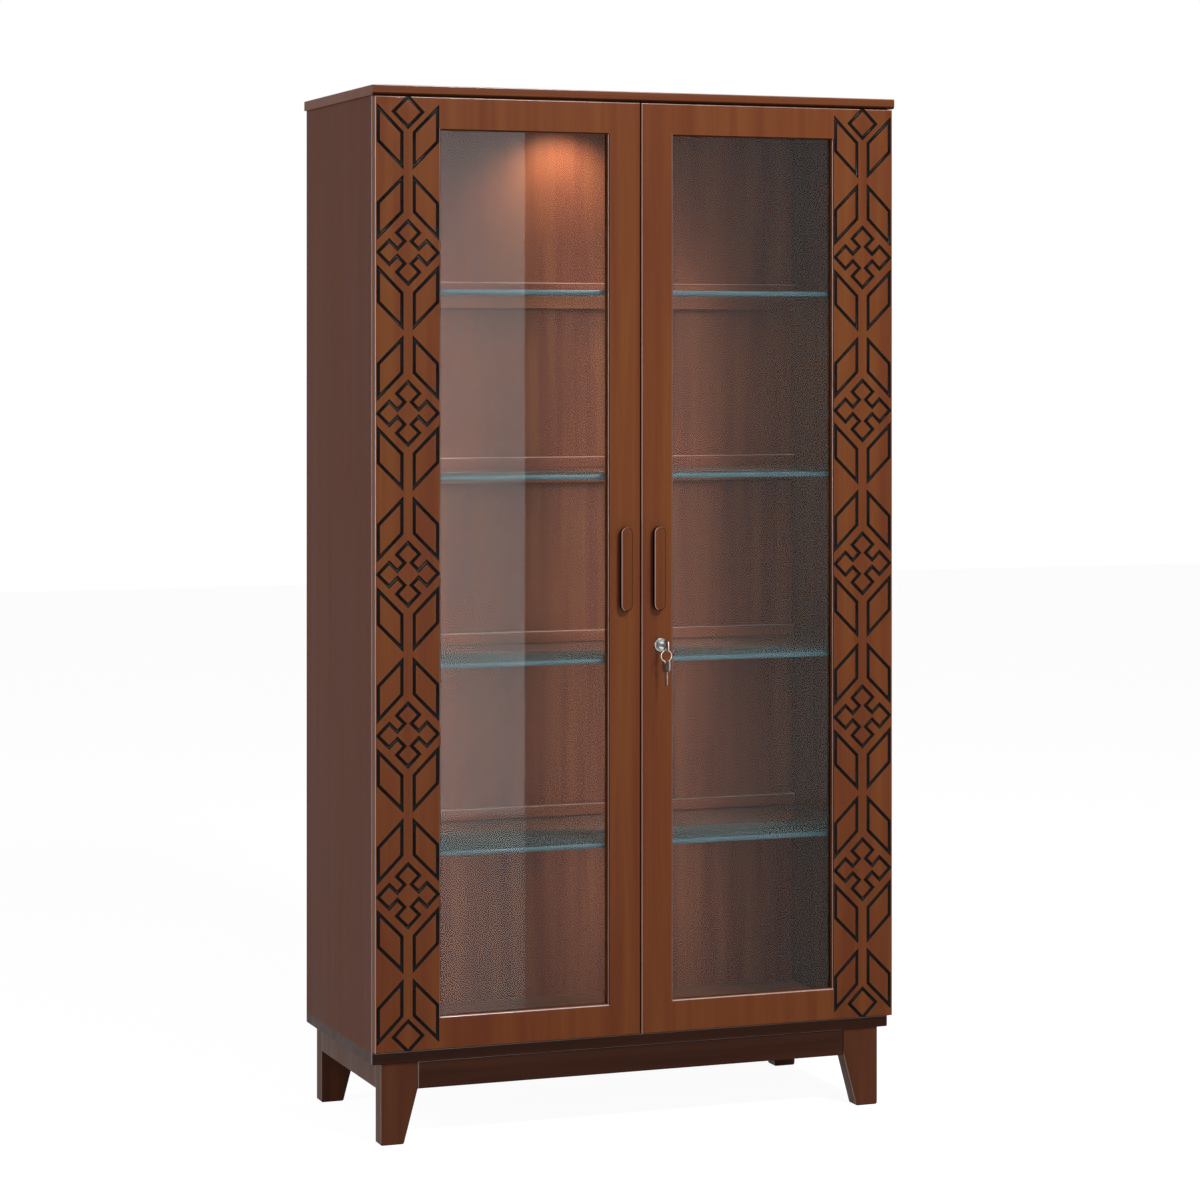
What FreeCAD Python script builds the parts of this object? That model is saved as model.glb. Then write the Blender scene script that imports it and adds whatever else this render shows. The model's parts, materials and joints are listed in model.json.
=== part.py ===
import FreeCAD, Part
import math
import os
import re
import Sketcher

# A two-door glazed book cabinet on four tapered legs, in millimetres, +Z up.
# The origin is at floor level, in the middle of the width and of the depth over the key.
# Left and right are as seen from the front, which faces -Y.

# Every driving dimension: name, value, what it is.
SIZES = [
    ("overall_width", 1000, "over the top panel"),
    ("overall_height", 1850, "floor to the top face"),
    ("overall_depth", 435, "door fronts to the back edges"),
    ("side_overhang", 4.5, "top panel beyond the sides"),
    ("top_thickness", 18, "top panel"),
    ("top_nose_radius", 6, "lower front arris of the top panel"),
    ("side_thickness", 18, "side panels"),
    ("bottom_thickness", 20, "bottom panel"),
    ("leg_height", 143, "floor to the bottom panel"),
    ("back_thickness", 16, "back panel"),
    ("back_inset", 4, "back panel in from the back edges"),
    ("arris", 1.2, "chamfered edges of the boards"),
    ("leg_top_width", 68, "leg above its taper"),
    ("leg_foot_width", 42.5, "leg at the floor"),
    ("leg_thickness", 31, "leg, front to back"),
    ("foot_round", 4, "lower corners of a leg"),
    ("leg_side_inset", 18, "leg in from the bottom panel's end"),
    ("leg_front_inset", 5, "leg in from the bottom panel's front and back"),
    ("apron_height", 48, "rails between the legs"),
    ("apron_thickness", 18, "rails between the legs"),
    ("apron_end_gap", 0.5, "apron to leg"),
    ("corner_block_leg", 46, "triangular glue block, along each apron"),
    ("corner_block_height", 36, "triangular glue block"),
    ("door_thickness", 19, "door frame"),
    ("door_case_gap", 2, "door back to the case's front edges"),
    ("door_top_gap", 2, "door to the top panel"),
    ("door_bottom_gap", 4, "door above the bottom panel's top"),
    ("door_middle_gap", 2.5, "between the two doors"),
    ("outer_stile_width", 120, "carved stile on the hinge side"),
    ("inner_stile_width", 61, "stile that carries the handle"),
    ("rail_width", 57, "top and bottom rails of a door"),
    ("light_radius", 3, "rounded arris round the glass"),
    ("glass_thickness", 4, "door glass"),
    ("glass_lip", 10, "wood in front of the glass"),
    ("rebate_width", 8, "rebate for the glass and its beads"),
    ("glass_edge_gap", 1, "glass to the rebate's sides"),
    ("shelf_thickness", 8, "glass shelf"),
    ("shelf_pitch", 329.5, "shelf to shelf"),
    ("shelf_front_setback", 7, "shelf behind the case's front edges"),
    ("shelf_side_gap", 1, "shelf to the side panels"),
    ("shelf_rail_height", 50, "wooden rail behind a shelf"),
    ("shelf_rail_thickness", 16, "wooden rail behind a shelf"),
    ("shelf_groove_depth", 7, "groove in the rail that holds the shelf"),
    ("shelf_groove_gap", 0.25, "groove above and below the shelf"),
    ("support_setback", 60, "shelf supports from the shelf's front edge"),
    ("support_width", 12, "shelf support, along the side panel"),
    ("support_height", 18, "shelf support's plate"),
    ("support_reach", 13, "shelf support's lug under the glass"),
    ("support_thickness", 2.5, "shelf support's plate and lug"),
    ("groove_width", 6, "carved line at the face"),
    ("groove_depth", 3, "carved line"),
    ("cross_pitch", 280, "carved crosses, centre to centre"),
    ("cross_core", 25.5, "half diagonal of the cross's middle square"),
    ("cross_arm", 20.75, "half diagonal of the cross's four outer squares"),
    ("cross_reach", 34.25, "middle of the cross to the middle of an outer square"),
    ("band_outer", 54, "stile's middle to a slanted band's outer side"),
    ("band_inner", 11.3, "stile's middle to a slanted band's inner side"),
    ("band_start", 28, "cross to the near end of a band's outer side"),
    ("band_side", 58, "a slanted band's upright sides"),
    ("end_diamond", 26.5, "half diagonal of the diamond at a stile's end"),
    ("handle_length", 150, "wooden pull"),
    ("handle_width", 22, "wooden pull"),
    ("handle_bar_depth", 8, "wooden front of the pull"),
    ("handle_neck_depth", 6, "dark neck behind it"),
    ("handle_neck_inset", 2, "neck in from the bar's outline"),
    ("handle_arris", 1.5, "eased front edge of the pull"),
    ("hinge_end", 100, "door's end to its nearest hinge"),
    ("cup_radius", 17.5, "hinge cup"),
    ("cup_depth", 12, "hinge cup"),
    ("cup_edge", 4.5, "door's edge to the cup"),
    ("cup_floor", 1, "metal under the cup's well"),
    ("well_length", 31, "well in the cup for the link, square to the door's edge"),
    ("well_width", 13.2, "well in the cup, along the door's edge"),
    ("cup_gap", 0.1, "bore round the cup, and below it"),
    ("wing_length", 60, "cup flange, along the stile"),
    ("wing_near", 18, "cup flange's near side from the door's edge"),
    ("wing_width", 16, "cup flange"),
    ("wing_thickness", 1.2, "cup flange"),
    ("cup_pivot_in", 9.5, "pivot in the cup, from the door's edge"),
    ("cup_pivot_deep", 6.5, "pivot in the cup, below the door's back"),
    ("arm_pivot_in", 30, "pivot on the arm, from the case's outer side"),
    ("arm_height", 8, "hinge arm, off the side panel"),
    ("arm_nose", 4, "pivot to the arm's front end"),
    ("arm_nose_chamfer", 2, "front corners of the arm"),
    ("arm_length", 58, "pivot to the arm's back end"),
    ("arm_width", 12, "hinge arm"),
    ("arm_slot", 8.4, "slot for the link"),
    ("arm_slot_depth", 8, "slot behind the pivot"),
    ("arm_foot_start", 14, "pivot to the front of the arm's foot"),
    ("arm_foot_end", 50, "pivot to the back of the arm's foot"),
    ("plate_thickness", 2, "mounting plate on the side panel"),
    ("plate_height", 48, "mounting plate"),
    ("plate_start", 20, "pivot to the plate's front"),
    ("link_width", 8, "hinge link"),
    ("link_thickness", 1.6, "hinge link"),
    ("link_bow", 6, "how far the link bows between its pivots"),
    ("link_end", 2.6, "pivot to each side of the link's eight-sided ends"),
    ("pivot_radius", 1.5, "hinge pivot pin"),
    ("pivot_gap", 0.1, "eye round its pin"),
    ("lock_in", 36, "right door's inner edge to the lock's axis"),
    ("lock_below_middle", 137.5, "door's middle height down to the lock"),
    ("rosette_radius", 12.25, "lock's front collar"),
    ("rosette_thickness", 3, "lock's front collar"),
    ("barrel_radius", 9, "lock housing through the door"),
    ("barrel_projection", 6, "lock housing behind the door"),
    ("barrel_gap", 0.2, "door's bore round the lock housing"),
    ("nut_radius", 13, "hexagon nut behind the door, over its corners"),
    ("nut_thickness", 4, "hexagon nut behind the door"),
    ("plug_radius", 6, "turning plug"),
    ("plug_gap", 0.05, "lock housing round the plug"),
    ("plug_projection", 2, "plug in front of the collar"),
    ("cam_gap", 0.3, "lock housing to the cam"),
    ("cam_length", 55, "cam, from the lock's axis"),
    ("cam_width", 14, "cam"),
    ("cam_thickness", 2, "cam"),
    ("cam_corner", 4, "cut corners of the cam"),
    ("catch_width", 20, "block behind the left door that the cam closes on"),
    ("catch_height", 28, "block behind the left door"),
    ("catch_edge", 2, "block in from the left door's edge"),
    ("catch_gap", 0.8, "block to the cam"),
    ("key_thickness", 2.4, "both keys"),
    ("key_bow_length", 22, "both keys, along the blade"),
    ("key_bow_width", 20, "both keys, across the blade"),
    ("key_bow_corner", 5, "cut corners of a bow"),
    ("key_neck_length", 13, "key in the lock, plug to bow"),
    ("key_blade_width", 6, "blade and neck"),
    ("key_blade_length", 25, "spare key's blade"),
    ("key_blade_thickness", 1.8, "spare key's blade"),
    ("keyway_depth", 6, "slot in the plug that holds the key"),
    ("keyway_gap", 0.1, "slot round the key"),
    ("key_hole_radius", 3, "hole in a bow"),
    ("key_hole_edge", 4.7, "bow's edge to the middle of its hole"),
    ("spare_turn", 18, "degrees the spare key is turned round the vertical"),
    ("ring_radius", 10, "key ring, to the middle of its band"),
    ("ring_band", 1.3, "key ring's band, square in section"),
    ("ring_gap", 0.3, "ring to the hole it hangs in"),
    ("spare_gap", 1.1, "ring to the top of the turned spare key's hole"),
    ("lamp_width", 60, "square ceiling lamp"),
    ("lamp_height", 10, "ceiling lamp"),
    ("lamp_setback", 92, "back panel to the lamp's axis"),
    ("overrun", 2, "how far every cutter passes its cut"),
]

# Places and sizes that follow from the ones above.
DERIVED = {
    "key_reach": "rosette_thickness + plug_projection + key_neck_length + key_bow_length",
    "front_y": "(key_reach - overall_depth) / 2",
    "door_back_y": "front_y + door_thickness",
    "case_front_y": "door_back_y + door_case_gap",
    "case_back_y": "front_y + overall_depth",
    "back_face_y": "case_back_y - back_inset - back_thickness",
    "case_half": "overall_width / 2 - side_overhang",
    "inner_half": "case_half - side_thickness",
    "floor_z": "leg_height + bottom_thickness",
    "ceiling_z": "overall_height - top_thickness",
    "room_middle_z": "(floor_z + ceiling_z) / 2",
    "door_low_z": "floor_z + door_bottom_gap",
    "door_high_z": "ceiling_z - door_top_gap",
    "door_middle_z": "(door_low_z + door_high_z) / 2",
    "door_half_height": "(door_high_z - door_low_z) / 2",
    "light_outer": "case_half - outer_stile_width",
    "light_inner": "door_middle_gap / 2 + inner_stile_width",
    "light_low_z": "door_low_z + rail_width",
    "light_high_z": "door_high_z - rail_width",
    "glass_y": "front_y + glass_lip",
    "bead_y": "glass_y + glass_thickness",
    "stile_middle_x": "case_half - outer_stile_width / 2",
    "handle_x": "door_middle_gap / 2 + inner_stile_width / 2",
    "shelf_front_y": "case_front_y + shelf_front_setback",
    "rail_face_y": "back_face_y - shelf_rail_thickness",
    "shelf_back_y": "rail_face_y + shelf_groove_depth - shelf_groove_gap",
    "base_front_y": "case_front_y + leg_front_inset",
    "base_back_y": "case_back_y - leg_front_inset",
    "base_half": "case_half - leg_side_inset",
    "apron_low_z": "leg_height - apron_height",
    "arm_y": "door_back_y",
    "arm_x": "case_half - arm_pivot_in",
    "cup_x": "case_half - cup_edge - cup_radius",
    "cup_pivot_x": "case_half - cup_pivot_in",
    "cup_pivot_y": "door_back_y - cup_pivot_deep",
    "lock_x": "door_middle_gap / 2 + lock_in",
    "lock_z": "door_middle_z - lock_below_middle",
    "collar_y": "front_y - rosette_thickness",
    "plug_front_y": "collar_y - plug_projection",
    "barrel_end_y": "door_back_y + barrel_projection",
    "plug_end_y": "barrel_end_y + cam_gap",
    "bow_y": "plug_front_y - key_neck_length",
    "bow_hole_y": "bow_y - key_bow_length / 2",
    "bow_hole_z": "lock_z - key_bow_width / 2 + key_hole_edge",
    "ring_top_z": "bow_hole_z - key_hole_radius + ring_band / 2 + ring_gap",
    "ring_middle_z": "ring_top_z - ring_radius",
    "ring_low_z": "ring_middle_z - ring_radius",
    "spare_hole_z": "ring_low_z + ring_band / 2 + spare_gap - key_hole_radius",
    "spare_top_z": "spare_hole_z + key_hole_edge",
    "lamp_y": "back_face_y - lamp_setback",
}
SHELF_COUNT = 4
HINGE_COUNT = 3
CROSS_COUNT = 5
RING_SIDES = 24
BARREL_SIDES = 12
NUT_SIDES = 6

TOUCH = 1e-4
V = FreeCAD.Vector
ALONG = {
    "x": FreeCAD.Rotation(V(0, 0, 1), V(1, 0, 0)),
    "y": FreeCAD.Rotation(V(0, 0, 1), V(0, 1, 0)),
    "z": FreeCAD.Rotation(),
}

doc = FreeCAD.newDocument("BookCabinet")
sheet = doc.addObject("Spreadsheet::Sheet", "Sizes")
for row, (name, size, note) in enumerate(SIZES, 1):
    sheet.set(f"A{row}", name)
    sheet.set(f"B{row}", str(size))
    sheet.setAlias(f"B{row}", name)
    sheet.set(f"C{row}", note)
doc.recompute()
NAMES = {name for name, size, note in SIZES}
nodes = []


def expand(formula):
    """Write a formula of named sizes in the form that the document's expressions take."""

    def swap(match):
        word = match.group(0)
        if word in DERIVED:
            return "(" + expand(DERIVED[word]) + ")"
        return "Sizes." + word if word in NAMES else word

    return re.sub(r"[a-z_]+", swap, formula)


def value(formula):
    """The number that a formula of named sizes gives."""
    return float(sheet.evalExpression(expand(formula)))


def bind(obj, prop, formula):
    obj.setExpression(prop, expand(formula))


def place(obj, x, y, z):
    """Bind an object's position to three formulas."""
    for axis, formula in zip("xyz", (x, y, z)):
        bind(obj, "Placement.Base." + axis, formula)


def keep(obj, label=None):
    """List an object as one of the cabinet's sub-parts."""
    if label:
        obj.Label = label
    nodes.append(obj)
    return obj


def box(name, x, y, z):
    """A board between two planes along each axis."""
    obj = doc.addObject("Part::Box", name)
    place(obj, x[0], y[0], z[0])
    for prop, (low, high) in zip(("Length", "Width", "Height"), (x, y, z)):
        bind(obj, prop, f"({high}) - ({low})")
    return obj


def rod(name, axis, start, radius, length):
    """A cylinder along an axis from a start point."""
    obj = doc.addObject("Part::Cylinder", name)
    obj.Placement = FreeCAD.Placement(V(), ALONG[axis])
    place(obj, *start)
    bind(obj, "Radius", radius)
    bind(obj, "Height", length)
    return obj


def prism(name, sides, start, radius, length):
    """A bar of equal sides that runs back from a start point, with its radius over the corners."""
    obj = doc.addObject("Part::Prism", name)
    obj.Polygon = sides
    obj.Placement = FreeCAD.Placement(V(), ALONG["y"])
    place(obj, *start)
    bind(obj, "Circumradius", radius)
    bind(obj, "Height", length)
    return obj


def solid(name, shape):
    """A shape worked out in this macro, as an object of the document."""
    obj = doc.addObject("Part::Feature", name)
    obj.Shape = shape
    return obj


def group(name, parts):
    obj = doc.addObject("Part::Compound", name)
    obj.Links = parts
    return obj


def joined(name, parts):
    obj = doc.addObject("Part::MultiFuse", name)
    obj.Shapes = parts
    obj.Refine = True
    return obj


def cut(name, base, *tools):
    """The base without one tool, or without all of several."""
    obj = doc.addObject("Part::Cut", name)
    obj.Base = base
    obj.Tool = tools[0] if len(tools) == 1 else group(name + "_tools", list(tools))
    return obj


def common(name, base, tool):
    obj = doc.addObject("Part::Common", name)
    obj.Base = base
    obj.Tool = tool
    return obj


def mirrored(name, source):
    """The same piece on the other side of the cabinet's middle plane."""
    obj = doc.addObject("Part::Mirroring", name)
    obj.Source = source
    obj.Normal = V(1, 0, 0)
    return obj


def copies(name, source, heights):
    """One group of the source lifted to each height."""
    doc.recompute()
    lifted = [source.Shape.translated(V(0, 0, z)) for z in heights]
    return solid(name, Part.makeCompound(lifted))


def on_plane(edge, axis, where):
    """True for an edge that lies in a plane square to an axis."""
    bounds = edge.BoundBox
    low = getattr(bounds, axis.upper() + "Min")
    high = getattr(bounds, axis.upper() + "Max")
    return abs(low - where) < TOUCH and abs(high - where) < TOUCH


def runs_along(edge, axis):
    """True for a straight edge parallel to an axis."""
    if edge.Curve.TypeId != "Part::GeomLine":
        return False
    return abs(abs(getattr(edge.Curve.Direction, axis)) - 1) < TOUCH


def worked_edges(kind, name, source, formula, wanted):
    """The source with a Fillet or Chamfer of one size on the edges that a test picks."""
    doc.recompute()
    obj = doc.addObject("Part::" + kind, name)
    obj.Base = source
    size = value(formula)
    edges = enumerate(source.Shape.Edges, 1)
    obj.Edges = [(number, size, size) for number, edge in edges if wanted(edge)]
    return obj


def eased(name, source, *planes):
    """The source with the edges of some of its flat faces chamfered."""
    places = [(axis, value(formula)) for axis, formula in planes]
    return worked_edges("Chamfer", name, source, "arris",
                        lambda edge: any(on_plane(edge, *place) for place in places))


def origin_plane(body, role):
    return next(f for f in body.Origin.OriginFeatures if f.Role == role)


def new_sketch(body, name, role):
    """A sketch on one of the body's own origin planes."""
    sketch = body.newObject("Sketcher::SketchObject", name)
    sketch.AttachmentSupport = (origin_plane(body, role), [""])
    sketch.MapMode = "FlatFace"
    return sketch


def pad(body, name, sketch, length):
    obj = body.newObject("PartDesign::Pad", name)
    obj.Profile = sketch
    bind(obj, "Length", length)
    return obj


def body_edges(body, kind, name, base, formula, wanted):
    """A Fillet or Chamfer on the edges of a body's last feature."""
    doc.recompute()
    picked = [f"Edge{n}" for n, edge in enumerate(base.Shape.Edges, 1) if wanted(edge)]
    obj = body.newObject("PartDesign::" + kind, name)
    obj.Base = (base, picked)
    bind(obj, "Radius" if kind == "Fillet" else "Size", formula)
    return obj


def polygon_sketch(body, name, role, corners):
    """A closed outline whose corners are bound to pairs of formulas; 0 lies on an axis."""
    sketch = new_sketch(body, name, role)
    spots = [V(value(x), value(y), 0) for x, y in corners]
    for first, second in zip(spots, spots[1:] + spots[:1]):
        sketch.addGeometry(Part.LineSegment(first, second), False)
    count = len(corners)
    for index in range(count):
        sketch.addConstraint(Sketcher.Constraint("Coincident", index, 2, (index + 1) % count, 1))
    for index, corner in enumerate(corners):
        for kind, axis_line, formula in zip(("DistanceX", "DistanceY"), (-2, -1), corner):
            if formula == "0":
                sketch.addConstraint(Sketcher.Constraint("PointOnObject", index, 1, axis_line))
                continue
            number = sketch.addConstraint(
                Sketcher.Constraint(kind, -1, 1, index, 1, value(formula)))
            sketch.setExpression(f"Constraints[{number}]", expand(formula))
    return sketch


def stadium_sketch(body, name, role, half_straight, radius):
    """An upright slot outline round the origin."""
    sketch = new_sketch(body, name, role)
    reach, wide = value(half_straight), value(radius)
    sketch.addGeometry(Part.LineSegment(V(-wide, -reach, 0), V(-wide, reach, 0)), False)
    top = Part.Circle(V(0, reach, 0), V(0, 0, 1), wide)
    sketch.addGeometry(Part.ArcOfCircle(top, 0, math.pi), False)
    sketch.addGeometry(Part.LineSegment(V(wide, reach, 0), V(wide, -reach, 0)), False)
    bottom = Part.Circle(V(0, -reach, 0), V(0, 0, 1), wide)
    sketch.addGeometry(Part.ArcOfCircle(bottom, math.pi, 2 * math.pi), False)
    for first, end, second, start in ((0, 2, 1, 2), (1, 1, 2, 1), (2, 2, 3, 2), (3, 1, 0, 1)):
        sketch.addConstraint(Sketcher.Constraint("Tangent", first, end, second, start))
    sketch.addConstraint(Sketcher.Constraint("PointOnObject", 1, 3, -2))
    sketch.addConstraint(Sketcher.Constraint("PointOnObject", 3, 3, -2))
    for index, first, second in ((1, -1, 1), (3, 3, -1)):
        ends = (-1, 1, 1, 3) if index == 1 else (3, 3, -1, 1)
        number = sketch.addConstraint(Sketcher.Constraint("DistanceY", *ends, reach))
        sketch.setExpression(f"Constraints[{number}]", expand(half_straight))
    number = sketch.addConstraint(Sketcher.Constraint("Radius", 1, wide))
    sketch.setExpression(f"Constraints[{number}]", expand(radius))
    return sketch


# Case

def build_top():
    """The top panel, with a rounded nose over the doors."""
    blank = box("top_blank", ("-overall_width / 2", "overall_width / 2"),
                ("front_y", "case_back_y"), ("ceiling_z", "overall_height"))
    front, under = value("front_y"), value("ceiling_z")
    nosed = worked_edges("Fillet", "top_nosed", blank, "top_nose_radius",
                         lambda edge: on_plane(edge, "y", front) and on_plane(edge, "z", under))
    keep(eased("top_panel", nosed, ("z", "overall_height")))


def build_bottom():
    """The bottom panel, which is also the cabinet's floor."""
    blank = box("bottom_blank", ("-case_half", "case_half"), ("case_front_y", "case_back_y"),
                ("leg_height", "floor_z"))
    keep(eased("bottom_panel", blank, ("y", "case_front_y"), ("z", "leg_height")))


def shelf_middle(index):
    """Height of a shelf's middle, counted from the lowest."""
    return f"room_middle_z + ({index} - {SHELF_COUNT - 1} / 2) * shelf_pitch"


def build_sides():
    """Side panels, and the metal lugs on them that carry the shelves' front ends."""
    blank = box("side_blank", ("-case_half", "-inner_half"), ("case_front_y", "case_back_y"),
                ("floor_z", "ceiling_z"))
    front = value("case_front_y")
    left = keep(worked_edges("Chamfer", "left_side_panel", blank, "arris",
                             lambda edge: on_plane(edge, "y", front) and runs_along(edge, "z")))
    keep(mirrored("right_side_panel", left))
    lugs = []
    across = ("shelf_front_y + support_setback", "shelf_front_y + support_setback + support_width")
    for index in range(SHELF_COUNT):
        under = f"({shelf_middle(index)} - shelf_thickness / 2)"
        plate = box(f"support_plate_{index}", ("-inner_half", "-inner_half + support_thickness"),
                    across, (f"{under} - support_height", under))
        lug = box(f"support_lug_{index}", ("-inner_half", "-inner_half + support_reach"),
                  across, (f"{under} - support_thickness", under))
        lugs.append(joined(f"support_{index}", [plate, lug]))
    left_lugs = group("left_supports", lugs)
    keep(group("shelf_supports", [left_lugs, mirrored("right_supports", left_lugs)]))


def build_back():
    """The back panel and the wooden rail behind each shelf, grooved for the glass."""
    keep(box("back_panel", ("-inner_half", "inner_half"),
             ("back_face_y", "case_back_y - back_inset"), ("floor_z", "ceiling_z")))
    for index in range(SHELF_COUNT):
        middle = shelf_middle(index)
        blank = box(f"rail_blank_{index}", ("-inner_half", "inner_half"),
                    ("rail_face_y", "back_face_y"),
                    (f"{middle} - shelf_rail_height / 2", f"{middle} + shelf_rail_height / 2"))
        half_groove = "(shelf_thickness / 2 + shelf_groove_gap)"
        groove = box(f"rail_groove_{index}", ("-inner_half - overrun", "inner_half + overrun"),
                     ("rail_face_y - overrun", "rail_face_y + shelf_groove_depth"),
                     (f"{middle} - {half_groove}", f"{middle} + {half_groove}"))
        soft = eased(f"rail_soft_{index}", blank, ("y", "rail_face_y"))
        keep(cut(f"shelf_rail_{index + 1}", soft, groove))
        keep(box(f"glass_shelf_{index + 1}",
                 ("-inner_half + shelf_side_gap", "inner_half - shelf_side_gap"),
                 ("shelf_front_y", "shelf_back_y"),
                 (f"{middle} - shelf_thickness / 2", f"{middle} + shelf_thickness / 2")))


# Base

def build_legs():
    """Four legs, straight outside and tapered inside, below the aprons."""
    outline = [("0", "0"), ("leg_foot_width", "0"), ("leg_top_width", "apron_low_z"),
               ("leg_top_width", "leg_height"), ("0", "leg_height")]
    for where, back in (("front", "base_front_y + leg_thickness"), ("back", "base_back_y")):
        body = doc.addObject("PartDesign::Body", f"left_{where}_leg")
        sketch = polygon_sketch(body, f"{where}_leg_outline", "XZ_Plane", outline)
        blank = pad(body, f"{where}_leg_pad", sketch, "leg_thickness")
        blank = body_edges(body, "Fillet", f"{where}_foot_round", blank, "foot_round",
                           lambda edge: on_plane(edge, "z", 0) and runs_along(edge, "y"))
        body_edges(body, "Chamfer", f"{where}_leg_arris", blank, "arris",
                   lambda edge: on_plane(edge, "x", 0) and runs_along(edge, "z"))
        place(body, "-base_half", back, "0")
        keep(body)
        keep(mirrored(f"right_{where}_leg", body))


def build_aprons():
    """Rails between the legs, and a glue block in each corner behind them."""
    between = "base_half - leg_top_width - apron_end_gap"
    for where, low in (("front", "base_front_y"), ("back", "base_back_y - apron_thickness")):
        blank = box(f"{where}_apron_blank", (f"-({between})", between),
                    (low, f"{low} + apron_thickness"), ("apron_low_z", "leg_height"))
        face = "base_front_y" if where == "front" else "base_back_y"
        keep(eased(f"{where}_apron", blank, ("y", face)))
    ends = ("base_front_y + leg_thickness + apron_end_gap",
            "base_back_y - leg_thickness - apron_end_gap")
    blank = box("left_apron_blank", ("-base_half", "-base_half + apron_thickness"), ends,
                ("apron_low_z", "leg_height"))
    left = keep(eased("left_apron", blank, ("x", "-base_half")))
    keep(mirrored("right_apron", left))

    outline = [("0", "0"), ("corner_block_leg", "0"), ("0", "corner_block_leg")]
    blocks = []
    corners = (("front", "base_front_y + leg_thickness + apron_end_gap", 0),
               ("back", "base_back_y - leg_thickness - apron_end_gap", -90))
    for where, y, turn in corners:
        body = doc.addObject("PartDesign::Body", f"{where}_block")
        sketch = polygon_sketch(body, f"{where}_block_outline", "XY_Plane", outline)
        pad(body, f"{where}_block_pad", sketch, "corner_block_height")
        body.Placement = FreeCAD.Placement(V(), FreeCAD.Rotation(V(0, 0, 1), turn))
        place(body, "-base_half + apron_thickness", y, "leg_height - corner_block_height")
        blocks += [body, mirrored(f"right_{where}_block", body)]
    keep(group("corner_blocks", blocks))


# Doors

def offset_outline(points, distance):
    """A closed counter-clockwise outline moved outwards, with sharp corners."""
    moved = []
    count = len(points)
    for index, point in enumerate(points):
        before = point - points[index - 1]
        after = points[(index + 1) % count] - point
        first = V(before.y, -before.x, 0).normalize()
        second = V(after.y, -after.x, 0).normalize()
        moved.append(point + (first + second) * (distance / (1 + first.dot(second))))
    return moved


def groove_solid(points):
    """The wood that a V-shaped cutter takes out along a closed outline on the door's face."""
    half, depth = value("groove_width") / 2, value("groove_depth")
    front, lift = value("front_y"), value("overrun")
    top_offset = half + half / depth * lift

    def ring(distance, y):
        return [V(p.x, y, p.y) for p in offset_outline(points, distance)]

    rings = [ring(top_offset, front - lift), ring(0, front + depth),
             ring(-top_offset, front - lift)]
    faces = []
    for near, far in zip(rings, rings[1:] + rings[:1]):
        for index in range(len(points)):
            after = (index + 1) % len(points)
            corners = [near[index], near[after], far[after], far[index], near[index]]
            faces.append(Part.Face(Part.makePolygon(corners)))
    shape = Part.makeSolid(Part.makeShell(faces))
    if shape.Volume < 0:
        shape.reverse()
    return shape


def cross_outline(x, z):
    """Five overlapping squares on their points: one in the middle and one on each side."""
    core, arm, reach = value("cross_core"), value("cross_arm"), value("cross_reach")
    notch = (core + arm - reach) / 2
    shoulder = core - notch
    quarter = [V(reach + arm, 0, 0), V(reach, arm, 0), V(shoulder, notch, 0),
               V(notch, shoulder, 0), V(arm, reach, 0)]
    points = []
    for turn in range(4):
        spin = FreeCAD.Rotation(V(0, 0, 1), turn * 90)
        points += [spin.multVec(p) + V(x, z, 0) for p in quarter]
    return points


def band_outline(x, z, side, up):
    """One slanted band beside a cross: side and up are +1 or -1."""
    outer, inner = value("band_outer"), value("band_inner")
    start, length = value("band_start"), value("band_side")
    rise = outer - inner
    corners = [(outer, start), (outer, start + length),
               (inner, start + rise + length), (inner, start + rise)]
    points = [V(x + side * a, z + up * b, 0) for a, b in corners]
    return points if side * up > 0 else points[::-1]


def diamond_outline(x, z):
    half = value("end_diamond")
    return [V(x + half, z, 0), V(x, z + half, 0), V(x - half, z, 0), V(x, z - half, 0)]


def ornament_tool():
    """Every carved line of the left door's outer stile."""
    x, middle = -value("stile_middle_x"), value("door_middle_z")
    pitch, last = value("cross_pitch"), (CROSS_COUNT - 1) / 2
    cutters = []
    for index in range(CROSS_COUNT):
        z = middle + (index - last) * pitch
        cutters.append(groove_solid(cross_outline(x, z)))
        for side in (1, -1):
            for up in (1, -1):
                cutters.append(groove_solid(band_outline(x, z, side, up)))
    for up in (1, -1):
        beyond = middle + up * (last + 1) * pitch
        for side in (1, -1):
            cutters.append(groove_solid(band_outline(x, beyond, side, -up)))
        end = middle + up * (value("door_half_height") - value("end_diamond"))
        cutters.append(groove_solid(diamond_outline(x, end)))
    return solid("ornament_cutters", Part.makeCompound(cutters))


def hinge_heights():
    """Heights of one door's hinges."""
    low, high = value("door_low_z + hinge_end"), value("door_high_z - hinge_end")
    step = (high - low) / (HINGE_COUNT - 1)
    return [low + step * index for index in range(HINGE_COUNT)]


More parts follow.
